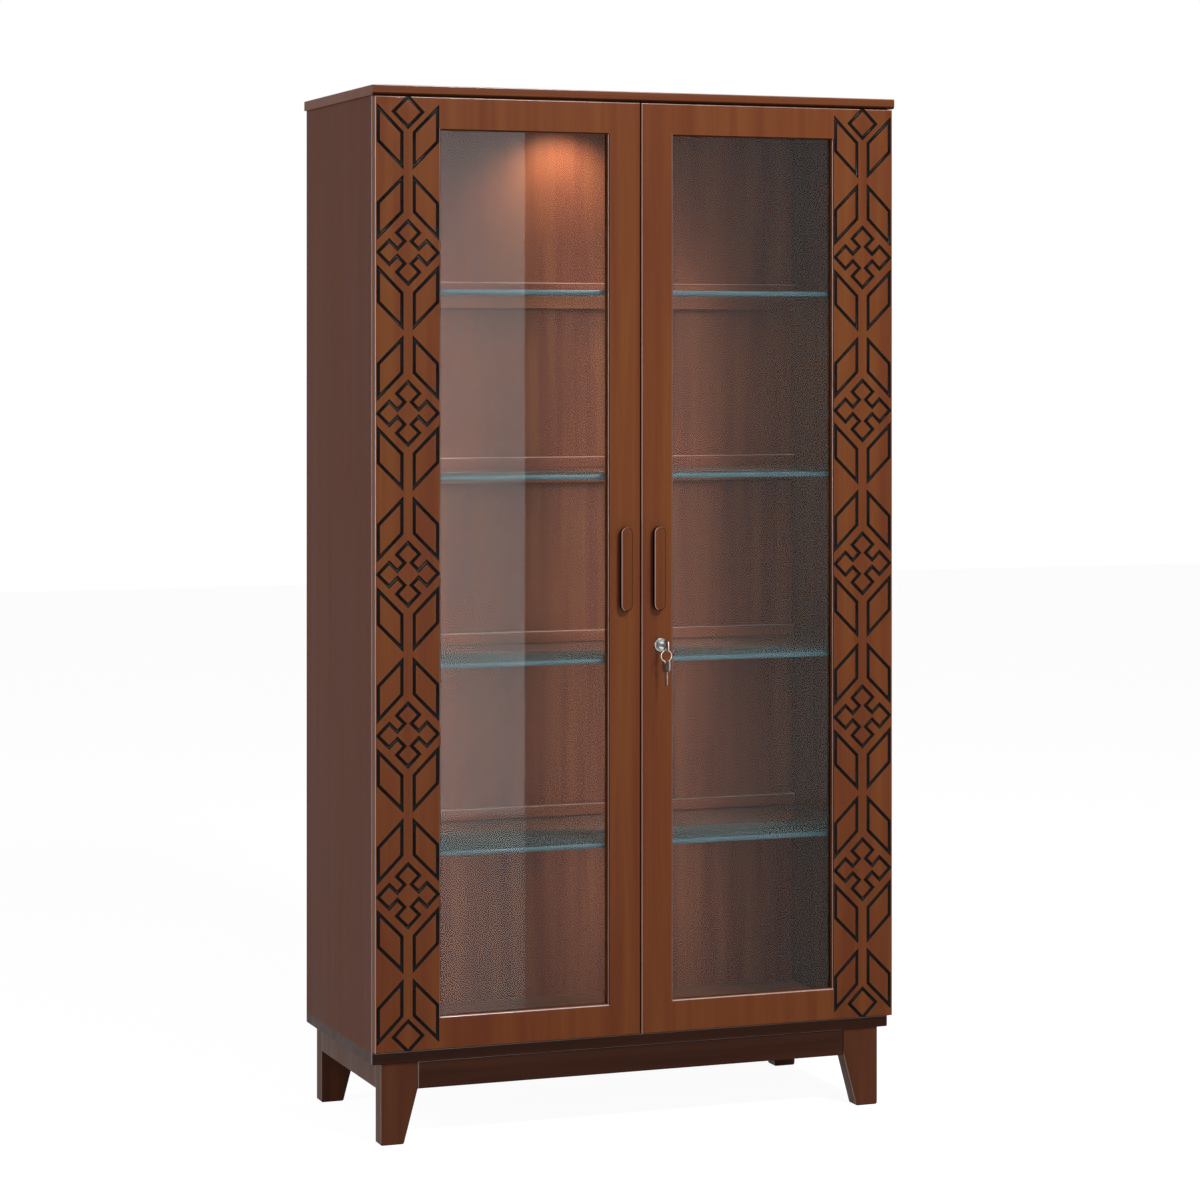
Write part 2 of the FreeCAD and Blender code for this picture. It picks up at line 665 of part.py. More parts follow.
def door_frame():
    """The left door's frame before it is parted into stiles and rails."""
    blank = box("door_blank", ("-case_half", "-door_middle_gap / 2"),
                ("front_y", "door_back_y"), ("door_low_z", "door_high_z"))
    light = box("light", ("-light_outer", "-light_inner"),
                ("front_y - overrun", "door_back_y + overrun"), ("light_low_z", "light_high_z"))
    rebate = box("rebate", ("-light_outer - rebate_width", "-light_inner + rebate_width"),
                 ("glass_y", "door_back_y + overrun"),
                 ("light_low_z - rebate_width", "light_high_z + rebate_width"))
    opened = cut("door_opened", blank, light, rebate)
    doc.recompute()
    front = value("front_y")
    outer = [("x", -value("case_half")), ("x", -value("door_middle_gap / 2")),
             ("z", value("door_low_z")), ("z", value("door_high_z"))]

    def outside(edge):
        return on_plane(edge, "y", front) and any(on_plane(edge, a, w) for a, w in outer)

    def inside(edge):
        return on_plane(edge, "y", front) and not outside(edge)

    soft = worked_edges("Fillet", "door_soft", opened, "light_radius", inside)
    return worked_edges("Chamfer", "door_frame", soft, "arris", outside)


def build_door_wood():
    """Both doors' stiles and rails."""
    frame = door_frame()
    deep = ("front_y - overrun", "door_back_y + overrun")
    tall = ("door_low_z - overrun", "door_high_z + overrun")
    across = ("-light_outer", "-light_inner")
    low_end = ("door_low_z - overrun", "light_low_z")
    high_end = ("light_high_z", "door_high_z + overrun")
    bores = rod("cup_bore", "y", ("-cup_x", "door_back_y - cup_depth - cup_gap", "0"),
                "cup_radius + cup_gap", "cup_depth + cup_gap + overrun")
    bores = copies("cup_bores", bores, hinge_heights())

    zone = box("outer_zone", ("-case_half - overrun", "-light_outer"), deep, tall)
    plain = common("outer_plain", frame, zone)
    stile = keep(cut("left_outer_stile", plain, ornament_tool(), bores))
    keep(mirrored("right_outer_stile", stile))

    for label, ends in (("top_rail", high_end), ("bottom_rail", low_end)):
        rail = keep(common("left_" + label, frame, box(label + "_zone", across, deep, ends)))
        keep(mirrored("right_" + label, rail))

    zone = box("inner_zone", ("-light_inner", "0"), deep, tall)
    stile = keep(common("left_inner_stile", frame, zone))
    bore = rod("lock_bore", "y", ("lock_x", "front_y - overrun", "lock_z"),
               "barrel_radius + barrel_gap", "door_thickness + 2 * overrun")
    keep(cut("right_inner_stile", mirrored("right_inner_plain", stile), bore))


def build_door_glass():
    """Both doors' panes, and the four beads that hold each in its rebate."""
    inset = "(rebate_width - glass_edge_gap)"
    pane = box("left_door_glass", (f"-light_outer - {inset}", f"-light_inner + {inset}"),
               ("glass_y", "bead_y"), (f"light_low_z - {inset}", f"light_high_z + {inset}"))
    keep(pane)
    keep(mirrored("right_door_glass", pane))
    deep = ("bead_y", "door_back_y")
    tall = ("light_low_z - rebate_width", "light_high_z + rebate_width")
    uprights = [("-light_outer - rebate_width", "-light_outer"),
                ("-light_inner", "-light_inner + rebate_width")]
    beads = [box(f"upright_bead_{n}", x, deep, tall) for n, x in enumerate(uprights)]
    levels = [("light_low_z - rebate_width", "light_low_z"),
              ("light_high_z", "light_high_z + rebate_width")]
    beads += [box(f"level_bead_{n}", ("-light_outer", "-light_inner"), deep, z)
              for n, z in enumerate(levels)]
    left = keep(group("left_glazing_beads", beads))
    keep(mirrored("right_glazing_beads", left))


def build_handles():
    """Wooden pulls, each on a dark neck a little smaller than itself."""
    straight = "(handle_length - handle_width) / 2"
    bar = doc.addObject("PartDesign::Body", "left_handle")
    sketch = stadium_sketch(bar, "bar_outline", "XZ_Plane", straight, "handle_width / 2")
    blank = pad(bar, "bar_pad", sketch, "handle_bar_depth")
    doc.recompute()
    front = -value("handle_bar_depth")
    body_edges(bar, "Chamfer", "bar_arris", blank, "handle_arris",
               lambda edge: on_plane(edge, "y", front))
    place(bar, "-handle_x", "front_y - handle_neck_depth", "door_middle_z")
    neck = doc.addObject("PartDesign::Body", "left_handle_base")
    sketch = stadium_sketch(neck, "neck_outline", "XZ_Plane", straight,
                            "handle_width / 2 - handle_neck_inset")
    pad(neck, "neck_pad", sketch, "handle_neck_depth")
    place(neck, "-handle_x", "front_y", "door_middle_z")
    for left, label in ((bar, "right_handle"), (neck, "right_handle_base")):
        keep(left)
        keep(mirrored(label, left))


# Hinges: an arm on the case, a bowed link, and a cup in the door

def build_hinge_cups():
    """Metal cups let into the doors' backs, each with a flange, a well and a pivot pin."""
    bowl = rod("cup_bowl", "y", ("-cup_x", "door_back_y - cup_depth", "0"),
               "cup_radius", "cup_depth")
    wing = box("cup_wing", ("-case_half + wing_near", "-case_half + wing_near + wing_width"),
               ("door_back_y", "door_back_y + wing_thickness"),
               ("-wing_length / 2", "wing_length / 2"))
    across = ("-well_width / 2", "well_width / 2")
    well = box("cup_well", ("-cup_x - well_length / 2", "-cup_x + well_length / 2"),
               ("door_back_y - cup_depth + cup_floor", "door_back_y + wing_thickness + overrun"),
               across)
    hollow = cut("cup_hollow", joined("cup_solid", [bowl, wing]), well)
    pin = rod("cup_pin", "z", ("-cup_pivot_x", "cup_pivot_y", across[0]),
              "pivot_radius", "well_width")
    left = copies("left_hinge_cups", joined("hinge_cup", [hollow, pin]), hinge_heights())
    keep(left)
    keep(mirrored("right_hinge_cups", left))


def build_hinge_arms():
    """Slotted arms on mounting plates, screwed to the side panels' inner faces."""
    wide = ("-arm_width / 2", "arm_width / 2")
    beam = box("arm_blank", ("-arm_x - arm_height / 2", "-arm_x + arm_height / 2"),
               ("arm_y - arm_nose", "arm_y + arm_length"), wide)
    tip = value("arm_y - arm_nose")
    beam = worked_edges("Chamfer", "arm_beam", beam, "arm_nose_chamfer",
                        lambda edge: on_plane(edge, "y", tip) and runs_along(edge, "z"))
    foot = box("arm_foot", ("-inner_half", "-arm_x"),
               ("arm_y + arm_foot_start", "arm_y + arm_foot_end"), wide)
    plate = box("arm_plate", ("-inner_half", "-inner_half + plate_thickness"),
                ("arm_y + plate_start", "arm_y + arm_foot_end"),
                ("-plate_height / 2", "plate_height / 2"))
    slot = box("arm_slot",
               ("-arm_x - arm_height / 2 - overrun", "-arm_x + arm_height / 2 + overrun"),
               ("arm_y - arm_nose - overrun", "arm_y + arm_slot_depth"),
               ("-arm_slot / 2", "arm_slot / 2"))
    forked = cut("arm_forked", joined("arm_solid", [beam, foot, plate]), slot)
    pin = rod("arm_pin", "z", ("-arm_x", "arm_y", "-arm_width / 2"), "pivot_radius", "arm_width")
    left = copies("left_hinge_arms", joined("hinge_arm", [forked, pin]), hinge_heights())
    keep(left)
    keep(mirrored("right_hinge_arms", left))


def build_hinge_links():
    """Bowed links with eight-sided ends and eyes, for the arm's pin and for the cup's."""
    near = V(-value("cup_pivot_x"), value("cup_pivot_y"), 0)
    far = V(-value("arm_x"), value("arm_y"), 0)
    chord = far - near
    along = V(chord).normalize()
    sideways = V(along.y, -along.x, 0)
    bow, half_thick, end = value("link_bow"), value("link_thickness / 2"), value("link_end")
    middle = (near + far) * 0.5 + sideways * bow
    circle = Part.Arc(near, middle, far).toShape().Curve
    centre, radius = circle.Center, circle.Radius

    reach = math.asin(chord.Length / 2 / radius)

    def strip_edge(distance):
        """The arc of the strip's inner or outer face, from pivot to pivot."""
        points = []
        for angle in (-reach, 0, reach):
            points.append(centre + sideways * (distance * math.cos(angle))
                          + along * (distance * math.sin(angle)))
        return Part.Arc(*points).toShape()

    arcs = [strip_edge(radius + half_thick), strip_edge(radius - half_thick)]
    caps = [Part.LineSegment(arcs[0].Vertexes[n].Point, arcs[1].Vertexes[n].Point).toShape()
            for n in (0, 1)]
    strip = Part.Wire(Part.__sortEdges__(arcs + caps))

    def eight_sided(pivot, apothem):
        """An outline round a pivot, with this distance to each of its eight sides."""
        spoke = along * (apothem / math.cos(math.pi / 8))
        turns = [FreeCAD.Rotation(V(0, 0, 1), (n + 1 / 2) * 45) for n in range(8)]
        corners = [pivot + turn.multVec(spoke) for turn in turns]
        return Part.makePolygon(corners + corners[:1])

    def extruded(name, wire, half):
        """An outline made solid, as far above the hinge's middle as below it."""
        shape = Part.Face(wire).extrude(V(0, 0, 2 * half)).translated(V(0, 0, -half))
        return solid(name, shape)

    half, eye = value("link_width / 2"), value("pivot_radius + pivot_gap")
    pieces = [extruded("link_strip", strip, half)]
    eyes = []
    for index, pivot in enumerate((near, far)):
        pieces.append(extruded(f"link_end_{index}", eight_sided(pivot, end), half))
        eyes.append(extruded(f"link_eye_{index}", eight_sided(pivot, eye), 2 * half))
    link = cut("hinge_link", joined("link_solid", pieces), *eyes)
    left = copies("left_hinge_links", link, hinge_heights())
    keep(left)
    keep(mirrored("right_hinge_links", left))


# Lock and keys

def build_lock():
    """Cam lock in the right door's inner stile, with its ring nut, plug, cam and key."""
    collar = rod("lock_collar", "y", ("lock_x", "collar_y", "lock_z"),
                 "rosette_radius", "rosette_thickness")
    barrel = prism("lock_barrel", BARREL_SIDES, ("lock_x", "front_y", "lock_z"),
                   "barrel_radius", "door_thickness + barrel_projection")
    bore = rod("plug_bore", "y", ("lock_x", "collar_y - overrun", "lock_z"),
               "plug_radius + plug_gap",
               "rosette_thickness + door_thickness + barrel_projection + 2 * overrun")
    keep(cut("lock_housing", joined("lock_solid", [collar, barrel]), bore))

    nut = prism("nut_blank", NUT_SIDES, ("lock_x", "door_back_y", "lock_z"), "nut_radius",
                "nut_thickness")
    hole = prism("nut_hole", BARREL_SIDES, ("lock_x", "door_back_y - overrun", "lock_z"),
                 "barrel_radius", "nut_thickness + 2 * overrun")
    keep(cut("lock_nut", nut, hole))

    plug = rod("plug_blank", "y", ("lock_x", "plug_front_y", "lock_z"), "plug_radius",
               "(plug_end_y) - (plug_front_y)")
    half_wide = "(key_thickness / 2 + keyway_gap)"
    half_tall = "(key_blade_width / 2 + keyway_gap)"
    keyway = box("keyway", (f"lock_x - {half_wide}", f"lock_x + {half_wide}"),
                 ("plug_front_y - overrun", "plug_front_y + keyway_depth"),
                 (f"lock_z - {half_tall}", f"lock_z + {half_tall}"))
    keep(cut("lock_plug", plug, keyway))

    cam = box("cam_blank", ("lock_x - cam_width / 2", "lock_x + cam_width / 2"),
              ("plug_end_y", "plug_end_y + cam_thickness"),
              ("lock_z - cam_width / 2", "lock_z + cam_length"))
    keep(worked_edges("Chamfer", "lock_cam", cam, "cam_corner",
                      lambda edge: runs_along(edge, "y")))
    edge = "-door_middle_gap / 2 - catch_edge"
    keep(box("lock_catch", (f"{edge} - catch_width", edge),
             ("door_back_y", "plug_end_y - catch_gap"),
             ("lock_z - catch_height / 2", "lock_z + catch_height / 2")))

    thick = ("lock_x - key_thickness / 2", "lock_x + key_thickness / 2")
    bow = box("bow_blank", thick, ("bow_y - key_bow_length", "bow_y"),
              ("lock_z - key_bow_width / 2", "lock_z + key_bow_width / 2"))
    bow = worked_edges("Chamfer", "bow", bow, "key_bow_corner",
                       lambda edge: runs_along(edge, "x"))
    neck = box("key_neck", thick, ("bow_y", "plug_front_y + keyway_depth"),
               ("lock_z - key_blade_width / 2", "lock_z + key_blade_width / 2"))
    hole = rod("bow_hole", "x", ("lock_x - key_thickness / 2 - overrun", "bow_hole_y",
               "bow_hole_z"), "key_hole_radius", "key_thickness + 2 * overrun")
    keep(cut("lock_key", joined("key_solid", [bow, neck]), hole))


def build_key_ring():
    """The ring that hangs in the key's bow, square to it, and the spare key on it."""
    ring = prism("ring_blank", RING_SIDES,
                 ("lock_x", "bow_hole_y - ring_band / 2", "ring_middle_z"),
                 "ring_radius + ring_band / 2", "ring_band")
    loop = prism("ring_loop", RING_SIDES,
                 ("lock_x", "bow_hole_y - ring_band / 2 - overrun", "ring_middle_z"),
                 "ring_radius - ring_band / 2", "ring_band + 2 * overrun")
    keep(cut("key_ring", ring, loop))

    bow = box("spare_bow_blank", ("-key_thickness / 2", "key_thickness / 2"),
              ("-key_bow_width / 2", "key_bow_width / 2"),
              ("key_hole_edge - key_bow_length", "key_hole_edge"))
    bow = worked_edges("Chamfer", "spare_bow", bow, "key_bow_corner",
                       lambda edge: runs_along(edge, "x"))
    blade = box("spare_blade", ("-key_blade_thickness / 2", "key_blade_thickness / 2"),
                ("-key_blade_width / 2", "key_blade_width / 2"),
                ("key_hole_edge - key_bow_length - key_blade_length",
                 "key_hole_edge - key_bow_length"))
    hole = rod("spare_hole", "x", ("-key_thickness / 2 - overrun", "0", "0"),
               "key_hole_radius", "key_thickness + 2 * overrun")
    spare = cut("spare_key", joined("spare_solid", [bow, blade]), hole)
    spare.Placement = FreeCAD.Placement(V(), FreeCAD.Rotation(V(0, 0, 1), value("spare_turn")))
    place(spare, "lock_x", "bow_hole_y", "spare_hole_z")
    keep(spare)


def build_lamp():
    """The flat square lamp under the top panel that lights the back panel."""
    blank = box("lamp_blank", ("-lamp_width / 2", "lamp_width / 2"),
                ("lamp_y - lamp_width / 2", "lamp_y + lamp_width / 2"),
                ("ceiling_z - lamp_height", "ceiling_z"))
    keep(eased("ceiling_lamp", blank, ("z", "ceiling_z - lamp_height")))


build_top()
build_bottom()
build_sides()
build_back()
build_legs()
build_aprons()
build_door_wood()
build_door_glass()
build_handles()
build_hinge_cups()
build_hinge_arms()
build_hinge_links()
build_lock()
build_key_ring()
build_lamp()
doc.recompute()

failed = [o.Label for o in doc.Objects if "Invalid" in o.State or "Error" in o.State]
if failed:
    raise RuntimeError("these objects failed: " + ", ".join(failed))
os.makedirs("parts", exist_ok=True)
for node in nodes:
    shape = node.Shape
    if shape.isNull() or not shape.isValid() or not shape.Solids:
        raise RuntimeError(node.Label + " has no valid shape")
    shape.exportStep(os.path.join("parts", node.Label + ".step"))
    print(node.Label, len(shape.Solids), round(shape.Volume), "mm3")
print(len(nodes), "sub-parts")
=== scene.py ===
"""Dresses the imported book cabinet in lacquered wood, enamel, glass and metal, in a plain pale studio."""

import json
import logging
import math
from dataclasses import dataclass, replace
from enum import Enum
from typing import Iterable, Sequence

import bmesh
import bpy
from mathutils import Euler, Matrix, Vector

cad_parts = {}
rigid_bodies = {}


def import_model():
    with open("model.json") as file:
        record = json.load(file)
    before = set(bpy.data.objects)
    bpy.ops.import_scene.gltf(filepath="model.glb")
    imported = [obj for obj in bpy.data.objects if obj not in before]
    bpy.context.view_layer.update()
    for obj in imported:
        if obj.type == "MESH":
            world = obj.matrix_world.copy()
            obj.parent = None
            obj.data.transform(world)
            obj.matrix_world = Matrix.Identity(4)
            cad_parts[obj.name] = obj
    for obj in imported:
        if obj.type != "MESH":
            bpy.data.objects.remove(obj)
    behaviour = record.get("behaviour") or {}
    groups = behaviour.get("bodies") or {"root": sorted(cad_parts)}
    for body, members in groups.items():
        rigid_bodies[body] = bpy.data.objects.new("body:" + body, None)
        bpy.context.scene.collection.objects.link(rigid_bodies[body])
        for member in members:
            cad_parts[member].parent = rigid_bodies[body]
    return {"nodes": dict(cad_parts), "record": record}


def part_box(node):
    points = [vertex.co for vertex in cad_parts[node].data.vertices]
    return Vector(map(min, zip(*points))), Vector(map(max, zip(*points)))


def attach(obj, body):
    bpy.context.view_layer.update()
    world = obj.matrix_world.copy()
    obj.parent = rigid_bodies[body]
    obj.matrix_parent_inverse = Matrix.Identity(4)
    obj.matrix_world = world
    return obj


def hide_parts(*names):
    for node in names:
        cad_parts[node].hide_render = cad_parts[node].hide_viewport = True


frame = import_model()

LOG = logging.getLogger("book_cabinet")
MM = 0.001
CRISP = 35.0
DOUBLED = 1e-7
TINY = 1e-9
UP = Vector((0, 0, 1))
INWARDS = Vector((0, 1, 0))
WHITE = (1.0, 1.0, 1.0)

Material = bpy.types.Material
Mesh = bpy.types.Mesh
Socket = bpy.types.NodeSocket
Vert = bmesh.types.BMVert
Colour = tuple[float, float, float]
Tones = tuple[Colour, Colour, Colour]
Point = tuple[float, float, float]
Outline = list[tuple[float, float]]
Place = tuple[Point, Euler]


class Side(Enum):
    """Which half of the cabinet a piece belongs to; the value is its sign along X."""

    LEFT = -1
    RIGHT = 1

    @property
    def word(self) -> str:
        """The side's name as the nodes and bodies spell it."""
        return self.name.lower()


class Grain(Enum):
    """The direction in which a board's grain runs; the value is that axis' number."""

    ACROSS = 0
    UPRIGHT = 2


class Motif(Enum):
    """The carved figures of the lattice."""

    CROSS = "cross"
    BAND = "band"
    DIAMOND = "diamond"


# Shading


class ShaderSheet:
    """A node tree under construction, for a material or a world."""

    def __init__(self, owner: Material | bpy.types.World) -> None:
        """Empties the owner's tree."""
        owner.use_nodes = True
        self.owner = owner
        self.tree = owner.node_tree
        self.tree.nodes.clear()

    @classmethod
    def named(cls, name: str) -> "ShaderSheet":
        """A sheet for a new material called name."""
        return cls(bpy.data.materials.new(name))

    def node(self, kind: str, settings: dict[str, object] | None = None,
             **sockets: object) -> bpy.types.Node:
        """Adds a node.

        Args:
            kind: The node's type, without its ShaderNode prefix.
            settings: Values for the node's own properties.
            **sockets: Values or output sockets for its inputs, with underscores for spaces.

        Returns:
            The new node.
        """
        made = self.tree.nodes.new("ShaderNode" + kind)
        for name, value in (settings or {}).items():
            setattr(made, name, value)
        for name, value in sockets.items():
            self.feed(made.inputs[name.replace("_", " ")], value)
        return made

    def feed(self, socket: Socket, value: object) -> None:
        """Links an output socket to socket, or writes a plain value on it."""
        if isinstance(value, Socket):
            self.tree.links.new(value, socket)
        elif isinstance(value, tuple) and len(value) == 3 and socket.type == "RGBA":
            socket.default_value = (*value, 1.0)
        else:
            socket.default_value = value

    def stretched(self, scale: Point = (1.0, 1.0, 1.0), shift: Point = (0.0, 0.0, 0.0)) -> Socket:
        """The point's place on the part, scaled and shifted for a pattern."""
        place = self.node("TexCoord").outputs["Object"]
        return self.node("Mapping", Vector=place, Scale=scale, Location=shift).outputs["Vector"]

    def noise(self, vector: Socket, scale: float, detail: float = 2.0,
              roughness: float = 0.5, distortion: float = 0.0) -> Socket:
        """A noise value from 0 to 1 at vector."""
        made = self.node("TexNoise", Vector=vector, Scale=scale, Detail=detail,
                         Roughness=roughness, Distortion=distortion)
        return made.outputs["Fac"]

    def ranged(self, value: Socket, low: float, high: float,
               to_low: float = 0.0, to_high: float = 1.0) -> Socket:
        """value carried from low..high to to_low..to_high, clamped."""
        made = self.node("MapRange", Value=value, From_Min=low, From_Max=high, To_Min=to_low, To_Max=to_high)
        return made.outputs["Result"]

    def uneven(self, value: Socket, middle: float, less: float, more: float) -> Socket:
        """A roughness that a noise value carries from middle - less to middle + more."""
        return self.ranged(value, 0.3, 0.7, middle - less, middle + more)

    def sum(self, operation: str, first: object, second: object) -> Socket:
        """One Math node: operation on two values or sockets."""
        made = self.node("Math", {"operation": operation})
        self.feed(made.inputs[0], first)
        self.feed(made.inputs[1], second)
        return made.outputs[0]

    def mixed(self, share: object, first: object, second: object, blend: str = "MIX") -> Socket:
        """A mix of two colours; share 0 is the first."""
        made = self.node("Mix", {"data_type": "RGBA", "blend_type": blend})
        for number, value in ((0, share), (6, first), (7, second)):
            self.feed(made.inputs[number], value)
        return made.outputs[2]

    def drifting(self, value: Socket, low: float, high: float, colour: Colour,
                 times: float) -> Socket:
        """colour where a noise value is low, and colour times a factor where it is high."""
        return self.mixed(self.ranged(value, low, high), colour, tuple(min(1.0, c * times) for c in colour))

    def bump(self, height: Socket, depth: float, strength: float = 0.5) -> Socket:
        """A normal from a height of 0 to 1 that stands depth metres."""
        return self.node("Bump", Height=height, Distance=depth, Strength=strength).outputs["Normal"]

    def layered(self, share: object, first: bpy.types.Node, second: bpy.types.Node) -> bpy.types.Node:
        """A mix of two shaders; share 0 is the first."""
        made = self.node("MixShader")
        for socket, value in zip(made.inputs, (share, first.outputs[0], second.outputs[0])):
            self.feed(socket, value)
        return made

    def looked_at(self) -> Socket:
        """1 for the camera's rays, also by way of glass and metal, and 0 for light's."""
        rays = self.node("LightPath").outputs
        return self.sum("MAXIMUM", rays["Is Camera Ray"],
                        self.sum("MAXIMUM", rays["Is Glossy Ray"], rays["Is Transmission Ray"]))

    def surface(self, shader: bpy.types.Node, output: str = "OutputMaterial") -> Material | bpy.types.World:
        """Ends the tree with shader as its surface."""
        self.tree.links.new(shader.outputs[0], self.node(output).inputs["Surface"])
        return self.owner


@dataclass(frozen=True)
class WoodFinish:
    """Stained and lacquered wood with long streaks along its grain."""

    name: str
    tones: Tones
    grain: Grain = Grain.UPRIGHT
    roughness: float = 0.36
    shine: float = 0.05
    coat: float = 0.0
    # How much paler the painted highlight on the arrises is; added to each tone.
    rubbing: float = 0.145
    shift: Point = (0.0, 0.0, 0.0)
    streak_share: float = 0.75
    pore_share: float = 0.5
    relief: float = 0.00006

    def pattern(self, sheet: ShaderSheet, stretch: float, *noise: float) -> Socket:
        """A noise that is drawn out along the grain.

        Args:
            sheet: The material under construction.
            stretch: Scale of the pattern along the grain, 1 for none.
            *noise: The noise's scale, detail, roughness and distortion.

        Returns:
            The noise's value.
        """
        scale = tuple(stretch if axis == self.grain.value else 1.0 for axis in range(3))
        return sheet.noise(sheet.stretched(scale, self.shift), *noise)

    def material(self) -> Material:
        """Builds the finish's material."""
        sheet = ShaderSheet.named(self.name)
        dark, middle, light = self.tones
        clouds = self.pattern(sheet, 0.15, 9.0, 2.0, 0.45)
        streaks = self.pattern(sheet, 0.04, 44.0, 2.0, 0.45, 0.3)
        fibres = self.pattern(sheet, 0.016, 620.0, 2.0, 0.6)
        pores = self.pattern(sheet, 0.03, 1500.0, 1.0, 0.5)
        broad = sheet.sum("ADD", sheet.sum("MULTIPLY", clouds, 1.0 - self.streak_share),
                          sheet.sum("MULTIPLY", streaks, self.streak_share))
        tone = sheet.ranged(broad, 0.34, 0.66)
        low = sheet.mixed(sheet.ranged(tone, 0.0, 0.5), dark, middle)
        colour = sheet.mixed(sheet.ranged(tone, 0.5, 1.0), low, light)
        fine = sheet.ranged(fibres, 0.3, 0.7, 0.93, 1.05)
        marks = sheet.ranged(pores, 0.62, 0.74, 1.0, 0.88)
        shade = sheet.sum("MULTIPLY", fine, marks)
        grey = sheet.node("CombineColor", Red=shade, Green=shade, Blue=shade).outputs[0]
        skin = sheet.sum("SUBTRACT", fibres, sheet.sum("MULTIPLY", pores, self.pore_share))
        return sheet.surface(sheet.node(
            "BsdfPrincipled", Base_Color=sheet.mixed(1.0, colour, grey, "MULTIPLY"),
            Roughness=sheet.uneven(streaks, self.roughness, 0.05, 0.07),
            Normal=sheet.bump(skin, self.relief, 0.6), Specular_IOR_Level=self.shine,
            Coat_Weight=self.coat, Coat_Roughness=0.12))

    def worn(self, lift: float = 1.5) -> "WoodFinish":
        """A paler, glossier copy of the wood: painted highlight for the arrises that face the lamps."""
        paler = tuple(tuple(min(1.0, c * lift + self.rubbing) for c in tone) for tone in self.tones)
        return replace(self, name=self.name + "_arris", tones=paler, roughness=0.26, shine=0.6, coat=0.3)

    def stained(self, depth: float = 0.22) -> "WoodFinish":
        """A darker copy of the wood: painted shade for the arrises that face away from the lamps."""
        darker = tuple(tuple(c * depth for c in tone) for tone in self.tones)
        return replace(self, name=self.name + "_stained", tones=darker, roughness=0.45)


@dataclass(frozen=True)
class EnamelFinish:
    """Glossy black paint that pooled in the carved lines."""

    name: str = "carving_enamel"
    colour: Colour = (0.0012, 0.0011, 0.0011)
    roughness: float = 0.3
    relief: float = 0.0001

    def material(self) -> Material:
        """Builds the paint's material."""
        sheet = ShaderSheet.named(self.name)
        flow = sheet.noise(sheet.stretched(), 90.0)
        return sheet.surface(sheet.node(
            "BsdfPrincipled", Base_Color=sheet.drifting(flow, 0.35, 0.65, self.colour, 2.2),
            Roughness=sheet.uneven(flow, self.roughness, 0.06, 0.08), Normal=sheet.bump(flow, self.relief),
            Specular_IOR_Level=0.09))


@dataclass(frozen=True)
class GlassFinish:
    """Clear glass with a thin film of dust, which lets lamps shine on what stands behind it."""

    name: str
    tint: Colour
    bending: float = 1.45
    shine: float = 0.5
    passed: Colour = (0.52, 0.54, 0.54)
    film: Colour = (0.54, 0.64, 0.66)
    film_share: float = 0.002
    haze: float = 0.0
    fading: float = 0.985

    def material(self) -> Material:
        """Builds the glass."""
        sheet = ShaderSheet.named(self.name)
        streaks = sheet.noise(sheet.stretched((1.0, 1.0, 0.4)), 14.0)
        tint = sheet.drifting(streaks, 0.35, 0.7, self.tint, self.fading)
        glass = sheet.node("BsdfPrincipled", Base_Color=tint, Roughness=self.haze, IOR=self.bending,
                           Specular_IOR_Level=self.shine, Transmission_Weight=1.0)
        open_air = sheet.node("BsdfTransparent", Color=self.passed)
        dusty = sheet.layered(self.film_share, glass, sheet.node("BsdfDiffuse", Color=self.film))
        shadow = sheet.node("LightPath").outputs["Is Shadow Ray"]
        return sheet.surface(sheet.layered(shadow, dusty, open_air))


@dataclass(frozen=True)
class CutGlassFinish:
    """The ground edge of a glass shelf, matt, where the glass's own colour gathers."""

    name: str = "shelf_edge_glass"
    deep: Colour = (0.017, 0.043, 0.053)
    pale: Colour = (0.023, 0.052, 0.063)
    roughness: float = 0.32

    def material(self) -> Material:
        """Builds the edge's material."""
        sheet = ShaderSheet.named(self.name)
        flow = sheet.noise(sheet.stretched((1.0, 1.0, 6.0)), 5.0, 3.0)
        tint = sheet.mixed(sheet.ranged(flow, 0.35, 0.65), self.deep, self.pale)
        rough = sheet.ranged(flow, 0.3, 0.7, self.roughness, 0.38)
        return sheet.surface(sheet.node("BsdfPrincipled", Base_Color=tint, Roughness=rough,
                                        Specular_IOR_Level=0.4))


@dataclass(frozen=True)
class MetalFinish:
    """Plated or brushed metal."""

    name: str
    colour: Colour
    roughness: float = 0.25
    brushed: Point = (1.0, 1.0, 1.0)
    scale: float = 300.0
    relief: float = 0.00003

    def material(self) -> Material:
        """Builds the metal."""
        sheet = ShaderSheet.named(self.name)
        lines = sheet.noise(sheet.stretched(self.brushed), self.scale, 3.0, 0.6)
        stains = sheet.noise(sheet.stretched(), 60.0)
        return sheet.surface(sheet.node(
            "BsdfPrincipled", Base_Color=sheet.drifting(stains, 0.35, 0.7, self.colour, 0.78), Metallic=1.0,
            Roughness=sheet.uneven(lines, self.roughness, 0.08, 0.1), Normal=sheet.bump(lines, self.relief)))


@dataclass(frozen=True)
class PlasticFinish:
    """Moulded plastic with a fine grain."""

    name: str
    colour: Colour
    roughness: float = 0.45
    relief: float = 0.00005

    def material(self) -> Material:
        """Builds the plastic."""
        sheet = ShaderSheet.named(self.name)
        grit = sheet.noise(sheet.stretched(), 900.0)
        return sheet.surface(sheet.node(
            "BsdfPrincipled", Base_Color=sheet.drifting(grit, 0.3, 0.7, self.colour, 1.3),
            Roughness=sheet.uneven(grit, self.roughness, 0.05, 0.08), Normal=sheet.bump(grit, self.relief)))


